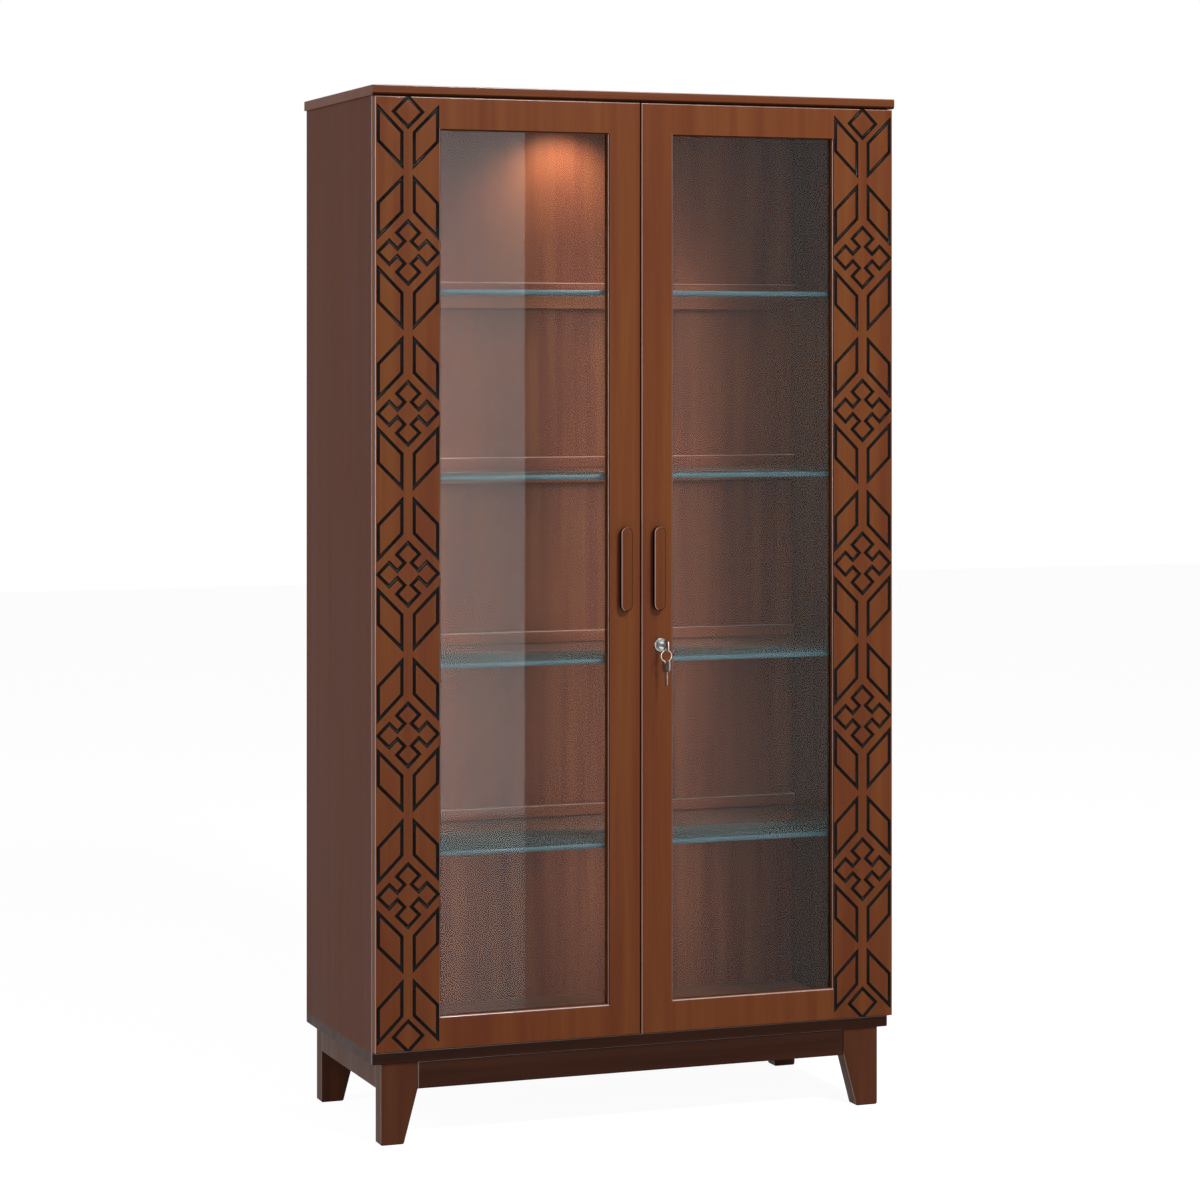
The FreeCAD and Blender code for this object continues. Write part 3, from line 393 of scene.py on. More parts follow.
@dataclass(frozen=True)
class LensFinish:
    """The lamp's frosted lens, lit from behind."""

    name: str = "lamp_lens"
    colour: Colour = (1.0, 0.62, 0.34)
    strength: float = 6.0
    roughness: float = 0.4

    def material(self) -> Material:
        """Builds the lens."""
        sheet = ShaderSheet.named(self.name)
        frost = sheet.noise(sheet.stretched(), 1200.0)
        tint = sheet.drifting(frost, 0.3, 0.7, self.colour, 1.2)
        return sheet.surface(sheet.node("BsdfPrincipled", Base_Color=tint, Roughness=self.roughness,
                                        Emission_Color=tint, Emission_Strength=self.strength))


@dataclass(frozen=True)
class StudioWhite:
    """A white floor that melts into a white background and keeps a faint shadow."""

    name: str = "studio_white"
    dull: Colour = (0.80, 0.80, 0.80)
    clean: Colour = (0.84, 0.84, 0.84)
    kept_shadow: float = 0.22
    glow: float = 1.21

    def material(self) -> Material:
        """Builds the floor's material."""
        sheet = ShaderSheet.named(self.name)
        speck = sheet.noise(sheet.stretched(), 30.0)
        tint = sheet.mixed(sheet.ranged(speck, 0.3, 0.7), self.dull, self.clean)
        matt = sheet.node("BsdfDiffuse", Color=tint)
        glow = sheet.node("Emission", Color=WHITE, Strength=self.glow)
        share = sheet.sum("MULTIPLY", sheet.looked_at(), 1.0 - self.kept_shadow)
        return sheet.surface(sheet.layered(share, matt, glow))


class Finishes:
    """Every finish of the cabinet, each built once."""

    walnut: Tones = ((0.101, 0.026, 0.0089), (0.116, 0.032, 0.0100), (0.128, 0.040, 0.0114))
    pull: Tones = ((0.094, 0.024, 0.0083), (0.106, 0.029, 0.0093), (0.118, 0.036, 0.0105))
    case: Tones = ((0.087, 0.0255, 0.0125), (0.097, 0.0295, 0.0145), (0.107, 0.0345, 0.017))
    base: Tones = ((0.052, 0.015, 0.007), (0.066, 0.020, 0.0088), (0.080, 0.025, 0.0108))
    # The plinth tones: darker than the legs', painted shade under the doors and below the case, for the
    # aprons and the bottom panel.
    plinth: Tones = ((0.026, 0.008, 0.004), (0.034, 0.011, 0.0052), (0.044, 0.014, 0.0065))
    inside: Tones = ((0.122, 0.032, 0.0190), (0.148, 0.0415, 0.0215), (0.172, 0.0525, 0.0240))
    shadow: Tones = ((0.003, 0.0015, 0.001), (0.005, 0.0025, 0.002), (0.008, 0.004, 0.003))

    def __init__(self) -> None:
        """Builds the materials and notes which one each CAD slot takes."""
        # Each wood's arris copies: a paler one with a painted highlight and a darker one with painted shade.
        self.arrises: dict[str, tuple[Material, Material]] = {}
        door = self.wood("door_walnut", self.walnut)
        case = self.wood("case_walnut", self.case, shine=0.012, shift=(3.1, 0.7, 1.9))
        back = self.wood("back_walnut", self.inside, shift=(2.3, 1.4, 0.2))
        self.rail_wood = self.wood("rail_walnut", self.inside, grain=Grain.ACROSS, shift=(0.8, 2.1, 3.7))
        top = self.wood("top_walnut", self.walnut, grain=Grain.ACROSS, shift=(1.1, 4.2, 0.6))
        leg = self.wood("leg_walnut", self.base, roughness=0.4, rubbing=0.03, shift=(5.3, 2.2, 0.4))
        apron = self.wood("apron_walnut", self.plinth, grain=Grain.ACROSS, roughness=0.4)
        self.handle_wood = self.wood("handle_walnut", self.pull, roughness=0.3, shift=(0.4, 0.9, 0.2))
        self.shadow_wood = WoodFinish("shadow_wood", self.shadow, roughness=0.5, shine=0.02).material()
        self.enamel = EnamelFinish().material()
        door_glass = GlassFinish("door_pane_glass", (0.97, 0.985, 0.985), bending=1.2).material()
        self.shelf_glass = GlassFinish("shelf_pane_glass", (0.86, 0.96, 0.97), bending=1.3, shine=0.4,
                                       passed=(0.80, 0.90, 0.90), film_share=0.035, haze=0.05).material()
        self.shelf_edge = CutGlassFinish().material()
        self.nickel = MetalFinish("lock_nickel", (0.25, 0.245, 0.235), 0.24, relief=0.000008).material()
        plug = MetalFinish("plug_nickel", (0.52, 0.51, 0.50), 0.18).material()
        self.key_steel = MetalFinish("key_steel", (0.33, 0.325, 0.31), 0.27, (1.0, 1.0, 0.2),
                                     relief=0.00001).material()
        self.ring_steel = MetalFinish("ring_steel", (0.70, 0.65, 0.59), 0.14).material()
        smooth = dict(scale=900.0, relief=0.000002)
        hinge = MetalFinish("hinge_nickel", (0.60, 0.59, 0.57), 0.36, **smooth).material()
        support = MetalFinish("support_nickel", (0.62, 0.61, 0.60), 0.34, **smooth).material()
        self.screw_steel = MetalFinish("screw_zinc", (0.50, 0.50, 0.48), 0.34).material()
        catch = PlasticFinish("catch_plastic", (0.030, 0.018, 0.012)).material()
        self.lamp_body = MetalFinish("lamp_satin_metal", (0.55, 0.54, 0.53), 0.4).material()
        self.lens = LensFinish().material()
        self.slots: dict[str, Material] = {
            "case_wood": case, "leg_wood": leg, "door_wood": door, "door_glass": door_glass,
            "shelf_glass": self.shelf_glass, "handle_wood": self.handle_wood,
            "handle_base_wood": self.shadow_wood, "hinge_steel": hinge, "support_steel": support,
            "lock_metal": self.nickel, "key_metal": self.key_steel, "catch_plastic": catch,
            "lamp_metal": self.lamp_body,
        }
        self.by_node: dict[str, Material] = {
            "top_panel": top, "front_apron": apron, "back_apron": apron, "back_panel": back,
            "bottom_panel": apron, "lock_plug": plug,
            **{f"shelf_rail_{number}": self.rail_wood for number in range(1, 5)},
        }

    def wood(self, name: str, tones: Tones, **look: object) -> Material:
        """Builds a wood, and the two that its arrises show: a paler copy with a painted highlight and a
        darker one with painted shade.

        Args:
            name: The material's name.
            tones: Its dark, middle and light colour.
            **look: Other fields of the wood's finish.

        Returns:
            The plain wood.
        """
        finish = WoodFinish(name, tones, **look)
        made = finish.material()
        self.arrises[made.name] = (finish.worn().material(), finish.stained().material())
        return made

    def worn_by(self, name: str, slot: str) -> Material:
        """The material of a CAD node: its own, or else its slot's."""
        return self.by_node.get(name) or self.slots[slot]


# Mesh making


def creased(shape: bmesh.types.BMesh, degrees: float) -> None:
    """Shades a shape smoothly, but for edges sharper than an angle in degrees."""
    for face in shape.faces:
        face.smooth = True
    limit = math.radians(degrees)
    for edge in shape.edges:
        if len(edge.link_faces) == 2 and edge.calc_face_angle(0.0) > limit:
            edge.smooth = False


def gathered(parts: Sequence[Mesh]) -> bmesh.types.BMesh:
    """One shape from several meshes, without their materials."""
    whole = bmesh.new()
    for part in parts:
        whole.from_mesh(part)
    return whole


def ended(shape: bmesh.types.BMesh, name: str) -> Mesh:
    """Ends a shape as a mesh called name."""
    made = bpy.data.meshes.new(name)
    shape.to_mesh(made)
    shape.free()
    return made


class MeshMaker:
    """A mesh under construction, in metres and in the part's own frame."""

    def __init__(self) -> None:
        """Starts an empty mesh."""
        self.mesh = bmesh.new()

    def ring(self, points: Iterable[Sequence[float]]) -> list[Vert]:
        """Adds one closed row of points."""
        return [self.mesh.verts.new(point) for point in points]

    def loft(self, rings: Sequence[Sequence[Vert]], closed: bool = False) -> None:
        """Joins rows of equal count with quads.

        Args:
            rings: The rows, in order.
            closed: True where the last row joins the first.
        """
        pairs = list(zip(rings, rings[1:]))
        if closed:
            pairs.append((rings[-1], rings[0]))
        for near, far in pairs:
            count = len(near)
            for index in range(count):
                after = (index + 1) % count
                self.mesh.faces.new((near[index], near[after], far[after], far[index]))

    def skin(self, rings: Sequence[Sequence[Vert]]) -> None:
        """Joins rows of equal count, and closes the first and the last with a face."""
        self.loft(rings)
        self.mesh.faces.new(rings[0])
        self.mesh.faces.new(rings[-1])

    def block(self, low: Sequence[float], high: Sequence[float]) -> None:
        """Adds a box between two corners."""
        made = bmesh.ops.create_cube(self.mesh, size=1.0)["verts"]
        low, high = Vector(low), Vector(high)
        for vert in made:
            vert.co = Vector(low[i] + (vert.co[i] + 0.5) * (high[i] - low[i]) for i in range(3))

    def lathe(self, centre: Point, axis: Vector, profile: Sequence[tuple[float, float]], count: int = 48,
              tube: bool = False) -> None:
        """Turns a profile round an axis.

        Args:
            centre: A point of the axis, where the profile's distance is zero.
            axis: The axis' direction.
            profile: Distance along the axis and radius, from one end to the other.
            count: Points round the axis.
            tube: True where the profile closes on itself, and False where its ends are capped.
        """
        axis = axis.normalized()
        side = axis.orthogonal().normalized()
        other = axis.cross(side)
        middle = Vector(centre)
        rings = []
        for distance, radius in profile:
            points = []
            for index in range(count):
                angle = math.tau * index / count
                outward = side * math.cos(angle) + other * math.sin(angle)
                points.append(middle + axis * distance + outward * radius)
            rings.append(self.ring(points))
        if tube:
            self.loft(rings, closed=True)
        else:
            self.skin(rings)

    def soften(self, width: float, segments: int = 3, angle: float = math.radians(40)) -> None:
        """Rounds every edge sharper than angle."""
        sharp = [edge for edge in self.mesh.edges
                 if len(edge.link_faces) == 2 and edge.calc_face_angle(0.0) > angle]
        bmesh.ops.bevel(self.mesh, geom=sharp, offset=width, offset_type="OFFSET", segments=segments,
                        profile=0.5, affect="EDGES", clamp_overlap=True)

    def tidy(self) -> None:
        """Merges doubled points and turns the faces outwards."""
        bmesh.ops.remove_doubles(self.mesh, verts=self.mesh.verts, dist=DOUBLED)
        bmesh.ops.recalc_face_normals(self.mesh, faces=self.mesh.faces)

    def data(self, name: str, crisp: float = CRISP, tidied: bool = True) -> Mesh:
        """Ends the mesh.

        Args:
            name: The mesh's name.
            crisp: Edges sharper than this many degrees stay sharp in the shading.
            tidied: True where doubles are merged and faces turned outwards first.

        Returns:
            The mesh.
        """
        if tidied:
            self.tidy()
        creased(self.mesh, crisp)
        return ended(self.mesh, name)


def flat_plate(name: str, outlines: Sequence[Outline], thickness: float, rounding: float,
               place: Matrix) -> Mesh:
    """A plate with softly rounded edges and holes.

    Args:
        name: The mesh's name.
        outlines: Closed outlines in metres; one inside another is a hole.
        thickness: The plate's whole thickness.
        rounding: Radius of its edges.
        place: Carries the plate from the XY plane to its place on the part.

    Returns:
        The mesh.
    """
    curve = bpy.data.curves.new(name, "CURVE")
    curve.dimensions, curve.fill_mode = "2D", "BOTH"
    curve.extrude, curve.bevel_depth, curve.bevel_resolution = thickness / 2 - rounding, rounding, 2
    curve.offset = -rounding
    for outline in outlines:
        spline = curve.splines.new("POLY")
        spline.points.add(len(outline) - 1)
        for point, (x, y) in zip(spline.points, outline):
            point.co = (x, y, 0.0, 1.0)
        spline.use_cyclic_u = True
    carrier = bpy.data.objects.new(name, curve)
    bpy.context.scene.collection.objects.link(carrier)
    graph = bpy.context.evaluated_depsgraph_get()
    made = bpy.data.meshes.new_from_object(carrier.evaluated_get(graph))
    bpy.data.objects.remove(carrier)
    bpy.data.curves.remove(curve)
    made.transform(place)
    maker = MeshMaker()
    maker.mesh.from_mesh(made)
    bpy.data.meshes.remove(made)
    return maker.data(name)


def show(name: str, data: Mesh, *materials: Material) -> bpy.types.Object:
    """Puts a mesh in the scene at the origin.

    Args:
        name: The piece's name.
        data: Its mesh.
        *materials: Its materials, in slot order.

    Returns:
        The new object.
    """
    for material in materials:
        data.materials.append(material)
    made = bpy.data.objects.new(name, data)
    bpy.context.scene.collection.objects.link(made)
    return made


def settle(piece: bpy.types.Object, body: str, slot: str, *nodes: str) -> bpy.types.Object:
    """Ties a piece to its body, and lets it stand for CAD nodes.

    Args:
        piece: The finished object.
        body: The CAD body that carries it.
        slot: The record's material slot; not used.
        *nodes: The CAD nodes that it replaces.

    Returns:
        The same object.
    """
    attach(piece, body)
    if nodes:
        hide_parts(*nodes)
    LOG.info("%s rides on %s%s", piece.name, body, f", for {', '.join(nodes)}" if nodes else "")
    return piece


class Repeater:
    """Repeats one small piece at many places with Geometry Nodes."""

    def __init__(self) -> None:
        """Builds the node tree once, with named inputs."""
        self.tree = bpy.data.node_groups.new("RepeatAtPoints", "GeometryNodeTree")
        face = self.tree.interface
        self.ids: dict[str, str] = {}
        for name, kind in (("Points", "Geometry"), ("Piece", "Object"), ("Size", "Float"),
                           ("Turn Spread", "Float"), ("Seed", "Int"), ("Finish", "Material")):
            item = face.new_socket(name=name, in_out="INPUT", socket_type="NodeSocket" + kind)
            self.ids[name] = item.identifier
        face.new_socket(name="Geometry", in_out="OUTPUT", socket_type="NodeSocketGeometry")
        nodes, links = self.tree.nodes, self.tree.links
        start, end = nodes.new("NodeGroupInput"), nodes.new("NodeGroupOutput")
        info = nodes.new("GeometryNodeObjectInfo")
        turn = nodes.new("GeometryNodeInputNamedAttribute")
        turn.data_type = "FLOAT_VECTOR"
        turn.inputs["Name"].default_value = "turn"
        spread = nodes.new("FunctionNodeRandomValue")
        spin = nodes.new("ShaderNodeCombineXYZ")
        rotate = nodes.new("FunctionNodeRotateRotation")
        rotate.rotation_space = "LOCAL"
        place = nodes.new("GeometryNodeInstanceOnPoints")
        real = nodes.new("GeometryNodeRealizeInstances")
        paint = nodes.new("GeometryNodeSetMaterial")
        negative = nodes.new("ShaderNodeMath")
        negative.operation = "MULTIPLY"
        negative.inputs[1].default_value = -1.0
        links.new(start.outputs["Piece"], info.inputs["Object"])
        links.new(start.outputs["Points"], place.inputs["Points"])
        links.new(info.outputs["Geometry"], place.inputs["Instance"])
        links.new(start.outputs["Turn Spread"], negative.inputs[0])
        floats = [s for s in spread.inputs if s.type == "VALUE"]
        links.new(negative.outputs[0], floats[0])
        links.new(start.outputs["Turn Spread"], floats[1])
        links.new(start.outputs["Seed"], spread.inputs["Seed"])
        drawn = [s for s in spread.outputs if s.type == "VALUE"][0]
        links.new(drawn, spin.inputs["Z"])
        links.new(turn.outputs["Attribute"], rotate.inputs["Rotation"])
        links.new(spin.outputs[0], rotate.inputs["Rotate By"])
        links.new(rotate.outputs[0], place.inputs["Rotation"])
        links.new(start.outputs["Size"], place.inputs["Scale"])
        links.new(place.outputs[0], real.inputs[0])
        links.new(real.outputs[0], paint.inputs["Geometry"])
        links.new(start.outputs["Finish"], paint.inputs["Material"])
        links.new(paint.outputs[0], end.inputs[0])

    def bake(self, name: str, source: Mesh, places: Sequence[Place],
             finish: Material, size: float = 1.0, spread: float = 0.0, seed: int = 7) -> Mesh:
        """Repeats source at each place and gives the result as a plain mesh.

        Args:
            name: The new mesh's name.
            source: The small piece, built round the origin.
            places: Each copy's point and turn.
            finish: The material of every copy.
            size: Scale of every copy.
            spread: How far each copy may be turned about its own axis, in radians.
            seed: Fixes the random turns.

        Returns:
            The joined mesh, at its place on the part.
        """
        points = bpy.data.meshes.new(name + "_points")
        points.from_pydata([tuple(point) for point, turn in places], [], [])
        turns = points.attributes.new("turn", "FLOAT_VECTOR", "POINT")
        for index, (point, turn) in enumerate(places):
            turns.data[index].vector = tuple(turn)
        pattern = show(name + "_pattern", source)
        carrier = show(name + "_carrier", points)
        repeat = carrier.modifiers.new("Repeat", "NODES")
        repeat.node_group = self.tree
        repeat[self.ids["Piece"]] = pattern
        repeat[self.ids["Size"]] = size
        repeat[self.ids["Turn Spread"]] = spread
        repeat[self.ids["Seed"]] = seed
        repeat[self.ids["Finish"]] = finish
        graph = bpy.context.evaluated_depsgraph_get()
        baked = bpy.data.meshes.new_from_object(carrier.evaluated_get(graph))
        baked.name = name
        carrier.modifiers.clear()
        bpy.data.objects.remove(carrier)
        bpy.data.objects.remove(pattern)
        return baked


# The cabinet's sub-assemblies


@dataclass
class CarvedLattice:
    """The enamelled lines of one door's outer stile: crosses, slanted bands and end diamonds.

    Lengths are in millimetres. pool and sag give the paint's surface in a groove: the share of the groove's
    depth at which its middle lies, and how fast it rises towards the walls. section has the shares of the
    groove's half width at which that surface is drawn.
    """

    side: Side
    stile_middle: float = 435.5
    door_low: float = 167.0
    door_high: float = 1830.0
    face: float = -197.5
    pitch: float = 280.0
    crosses: int = 5
    groove_half: float = 3.0
    groove_depth: float = 3.0
    core: float = 25.5
    arm: float = 20.75
    reach: float = 34.25
    band_outer: float = 54.0
    band_inner: float = 11.3
    band_start: float = 28.0
    band_side: float = 58.0
    diamond: float = 26.5
    skin: float = 0.09
    pool: float = 0.84
    sag: float = 0.22
    brim: float = 0.02
    crisp: float = 38.0
    section: tuple[float, ...] = (1.0, 0.93, 0.72, 0.42, 0.2, 0.0, -0.2, -0.42, -0.72, -0.93, -1.0)

    @property
    def middle(self) -> float:
        """The door's middle height."""
        return (self.door_low + self.door_high) / 2

    def outline(self, motif: Motif, across: int = 1, up: int = 1) -> list[Vector]:
        """One figure's closed centre line round its own origin, counter-clockwise seen from the front.

        Args:
            motif: Which figure.
            across: 1 or -1, the side of the stile's middle that a band lies on.
            up: 1 or -1, above or below its cross.

        Returns:
            The corners, X and Z in millimetres.
        """
        if motif is Motif.CROSS:
            notch = (self.core + self.arm - self.reach) / 2
            shoulder = self.core - notch
            quarter = [(self.reach + self.arm, 0.0), (self.reach, self.arm), (shoulder, notch),
                       (notch, shoulder), (self.arm, self.reach)]
            return [Matrix.Rotation(math.pi / 2 * turn, 2) @ Vector(point)
                    for turn in range(4) for point in quarter]
        if motif is Motif.DIAMOND:
            half = self.diamond
            return [Vector(p) for p in ((half, 0.0), (0.0, half), (-half, 0.0), (0.0, -half))]
        rise = self.band_outer - self.band_inner
        corners = [(self.band_outer, self.band_start), (self.band_outer, self.band_start + self.band_side),
                   (self.band_inner, self.band_start + rise + self.band_side),
                   (self.band_inner, self.band_start + rise)]
        points = [Vector((across * a, up * b)) for a, b in corners]
        return points if across * up > 0 else points[::-1]

    def moved(self, points: Sequence[Vector], distance: float) -> list[Vector]:
        """A closed counter-clockwise outline moved outwards, with sharp corners."""
        result = []
        for index, point in enumerate(points):
            before = point - points[index - 1]
            after = points[(index + 1) % len(points)] - point
            first = Vector((before.y, -before.x)).normalized()
            second = Vector((after.y, -after.x)).normalized()
            result.append(point + (first + second) * (distance / (1 + first.dot(second))))
        return result

    def profile(self) -> Outline:
        """The paint's section: distance from the line's middle and depth under the face."""
        slope = self.groove_depth / self.groove_half
        rows = []
        for share in self.section:
            distance = share * self.groove_half
            wall = self.groove_depth - abs(distance) * slope - self.skin
            rounded = self.groove_depth * self.pool - self.sag * distance * distance
            rows.append((distance, max(-self.brim, min(wall, rounded))))
        return rows

    def figure(self, name: str, points: Sequence[Vector]) -> Mesh:
        """One figure's painted line as a mesh round its own origin, on the door's face."""
        maker = MeshMaker()
        rings = []
        for distance, depth in self.profile():
            moved = self.moved(points, distance)
            rings.append(maker.ring([(point.x * MM, depth * MM, point.y * MM) for point in moved]))
        maker.loft(rings)
        for face in maker.mesh.faces:
            face.normal_update()
            if face.normal.y > 0:
                face.normal_flip()
        return maker.data(name, self.crisp, tidied=False)

    def build(self, finishes: Finishes, repeater: Repeater) -> bpy.types.Object:
        """Repeats the figures along the stile, cuts them off at the door's ends and rides them on it."""
        title = f"{self.side.word}_lattice_enamel"
        straight = Euler((0.0, 0.0, 0.0))
        x, face = self.side.value * self.stile_middle * MM, self.face * MM
        last = (self.crosses - 1) // 2

        def row(first: int, end: int) -> list[Place]:
            """The places of the crosses from number first to number end."""
            return [((x, face, (self.middle + number * self.pitch) * MM), straight)
                    for number in range(first, end + 1)]

        sets = [(self.outline(Motif.CROSS), row(-last, last))]
        for across in (1, -1):
            sets.append((self.outline(Motif.BAND, across, 1), row(-last - 1, last)))
            sets.append((self.outline(Motif.BAND, across, -1), row(-last, last + 1)))
        ends = [((x, face, z * MM), straight)
                for z in (self.door_low + self.diamond, self.door_high - self.diamond)]
        sets.append((self.outline(Motif.DIAMOND), ends))
        parts = []
        for number, (points, places) in enumerate(sets):
            figure = self.figure(f"figure_{number}", points)
            set_name = f"{self.side.word}_figures_{number}"
            parts.append(repeater.bake(set_name, figure, places, finishes.enamel))
        whole = gathered(parts)
        for height, normal in ((self.door_low, -1.0), (self.door_high, 1.0)):
            bmesh.ops.bisect_plane(whole, geom=whole.verts[:] + whole.edges[:] + whole.faces[:],
                                   plane_co=(0.0, 0.0, height * MM), plane_no=(0.0, 0.0, normal),
                                   clear_outer=True)
        piece = show(title, ended(whole, title), finishes.enamel)
        return settle(piece, f"{self.side.word}_door", "handle_base_wood")


@dataclass
class Joinery:
    """The cabinet's boards, each taken from its CAD node, with painted shade on the arrises that face down or
    right and a painted highlight on the others.

    Widths are in millimetres. narrow is the widest arris, and rounding the widest facet of a rounded one.
    flat is the part of a normal along an axis from which a face is a side of a board, and level the same
    for the bottom panel's top face. The rest compare a part of an arris' normal: down and right for painted
    shade, left and front for the rounded edges beside the door glass, whose front-facing facets also take
    painted shade.
    """

    narrow: float = 2.6
    rounding: float = 0.7
    flat: float = 0.965
    level: float = 0.99
    down: float = 0.3
    right: float = 0.3
    left: float = 0.1
    front: float = 0.65
    weld: float = 2e-6
    even: float = 0.6
    crisp: float = 55.0

    def names(self) -> list[str]:
        """The nodes that are boards."""
        doors = [f"{side.word}_{part}" for side in Side
                 for part in ("outer_stile", "inner_stile", "top_rail", "bottom_rail", "glazing_beads")]
        legs = [f"{side.word}_{end}_leg" for side in Side for end in ("front", "back")]
        rails = [f"shelf_rail_{number}" for number in range(1, 5)]
        aprons = [f"{place}_apron" for place in ("front", "back", "left", "right")]
        return ["top_panel", "bottom_panel", "left_side_panel", "right_side_panel", "back_panel",
                *rails, *legs, *aprons, *doors]

    def width(self, face: bmesh.types.BMFace) -> float:
        """The width of a long narrow face."""
        return 2 * face.calc_area() / max(sum(edge.calc_length() for edge in face.edges), TINY)

    def is_arris(self, face: bmesh.types.BMFace) -> bool:
        """True for a narrow face that stands askew between two sides of a board."""
        return max(abs(c) for c in face.normal) <= self.flat and self.width(face) < self.narrow * MM

    def finish_of(self, face: bmesh.types.BMFace) -> int:
        """Which material a face takes: 0 the plain wood, 1 an arris with a painted highlight, 2 an arris with
        painted shade.
        """
        if not self.is_arris(face):
            return 0
        normal = face.normal
        beside_glass = self.width(face) < self.rounding * MM and normal.x < -self.left
        if beside_glass and normal.y < -self.front:
            return 2
        return 2 if normal.z < -self.down or normal.x > self.right else 1

    def build(self, finishes: Finishes, bodies: dict[str, str], slots: dict[str, str]) -> None:
        """Builds every board.

        Args:
            finishes: The cabinet's materials.
            bodies: The body of each node.
            slots: The material slot of each node.
        """
        for name in self.names():
            maker = MeshMaker()
            maker.mesh.from_mesh(frame["nodes"][name].data)
            bmesh.ops.remove_doubles(maker.mesh, verts=maker.mesh.verts, dist=self.weld)
            bmesh.ops.dissolve_limit(
                maker.mesh, angle_limit=math.radians(self.even), use_dissolve_boundaries=False,
                verts=maker.mesh.verts, edges=maker.mesh.edges, delimit={"NORMAL"})
            for face in maker.mesh.faces:
                face.normal_update()
                face.material_index = self.finish_of(face)
            wood = finishes.worn_by(name, slots[name])
            woods = [wood, *finishes.arrises[wood.name]]
            # The bottom panel wears the plinth wood's painted shade; its top face, the floor inside, takes
            # the rail wood.
            if name == "bottom_panel":
                woods.append(finishes.rail_wood)
                for face in maker.mesh.faces:
                    if face.normal.z > self.level:
                        face.material_index = len(woods) - 1
            title = f"{name}_board"
            piece = show(title, maker.data(title, self.crisp), *woods)
            shade = piece.modifiers.new("Soft arrises", "WEIGHTED_NORMAL")
            shade.keep_sharp = True
            settle(piece, bodies[name], slots[name], name)


@dataclass
class DoorPull:
    """A wooden pull with round ends on a neck; the neck and the bar's flanks wear painted shade.

    Lengths are in millimetres. back_edge and neck_edge are rows of an inset and of how far it lies before
    the bar's back. plain, dark, lit_side and lit_top compare a part of a face's normal.
    """

    side: Side
    centre_x: float = 31.75
    middle: float = 998.5
    length: float = 150.0
    width: float = 22.0
    front: float = -211.5
    bar_back: float = -203.5
    neck_back: float = -197.5
    neck_inset: float = 2.0
    arris: float = 2.2
    arris_steps: int = 6
    back_edge: tuple[tuple[float, float], ...] = ((0.5, 0.0), (0.15, 0.15), (0.0, 0.5))
    neck_edge: tuple[tuple[float, float], ...] = ((0.0, 0.4), (0.6, 0.0))
    plain: float = 0.93
    dark: float = 0.7
    lit_side: float = 0.15
    lit_top: float = 0.55

    def stadium(self, inset: float, y: float, count: int = 20) -> list[Point]:
        """A long outline with round ends, inset from the pull's own, at depth y."""
        radius = self.width / 2 - inset
        straight = self.length / 2 - self.width / 2
        x = self.side.value * self.centre_x
        points = []
        for end in (1, -1):
            for step in range(count + 1):
                angle = math.pi * step / count + (0.0 if end > 0 else math.pi)
                points.append(((x + radius * math.cos(angle)) * MM, y * MM,
                               (self.middle + end * straight + radius * math.sin(angle)) * MM))
        return points

    def shell(self, rows: Sequence[tuple[float, float]]) -> MeshMaker:
        """A closed form through outlines, each given by its inset and depth."""
        maker = MeshMaker()
        maker.skin([maker.ring(self.stadium(inset, y)) for inset, y in rows])
        return maker

    def finish_of(self, normal: Vector) -> int:
        """Which material a face takes: 0 plain, 1 a painted highlight where it faces left or up, 2 painted
        shade, 3 the darker painted shade of the neck.
        """
        if normal.y < -self.plain:
            return 0
        if normal.y > -self.dark:
            return 3
        return 1 if normal.x < -self.lit_side or normal.z > self.lit_top else 2

    def build(self, finishes: Finishes) -> None:
        """Builds the bar and its neck."""
        word, r = self.side.word, self.arris
        rows = [(inset, self.bar_back - before) for inset, before in self.back_edge]
        for step in range(self.arris_steps + 1):
            angle = math.pi / 2 * step / self.arris_steps
            rows.append((r * (1 - math.cos(angle)), self.front + r * (1 - math.sin(angle))))
        maker = self.shell(rows)
        maker.tidy()
        for face in maker.mesh.faces:
            face.material_index = self.finish_of(face.normal)
        wood = finishes.handle_wood
        bar = show(f"{word}_pull_bar", maker.data(f"{word}_pull_bar"), wood, *finishes.arrises[wood.name],
                   finishes.shadow_wood)
        settle(bar, f"{word}_door", "handle_wood", f"{word}_handle")
        inset = self.neck_inset
        rows = [(inset, self.neck_back)]
        rows += [(inset + more, self.bar_back - before) for more, before in self.neck_edge]
        neck = show(f"{word}_pull_neck", self.shell(rows).data(f"{word}_pull_neck"), finishes.shadow_wood)
        settle(neck, f"{word}_door", "handle_base_wood", f"{word}_handle_base")


@dataclass
class Shelves:
    """Four glass shelves with matt ground edges; level is the part of a normal that makes a face a pane."""

    arris: float = 0.12
    level: float = 0.9
    crisp: float = 50.0

    def build(self, finishes: Finishes) -> None:
        """Builds each shelf in the place of its CAD node."""
        for number in range(1, 5):
            name = f"glass_shelf_{number}"
            low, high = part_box(name)
            maker = MeshMaker()
            maker.block(low, high)
            maker.soften(self.arris * MM, 1)
            maker.tidy()
            for face in maker.mesh.faces:
                face.material_index = 0 if abs(face.normal.z) > self.level else 1
            data = maker.data(f"shelf_glass_{number}", self.crisp)
            piece = show(f"shelf_glass_{number}", data, finishes.shelf_glass, finishes.shelf_edge)
            settle(piece, "carcass", "shelf_glass", name)


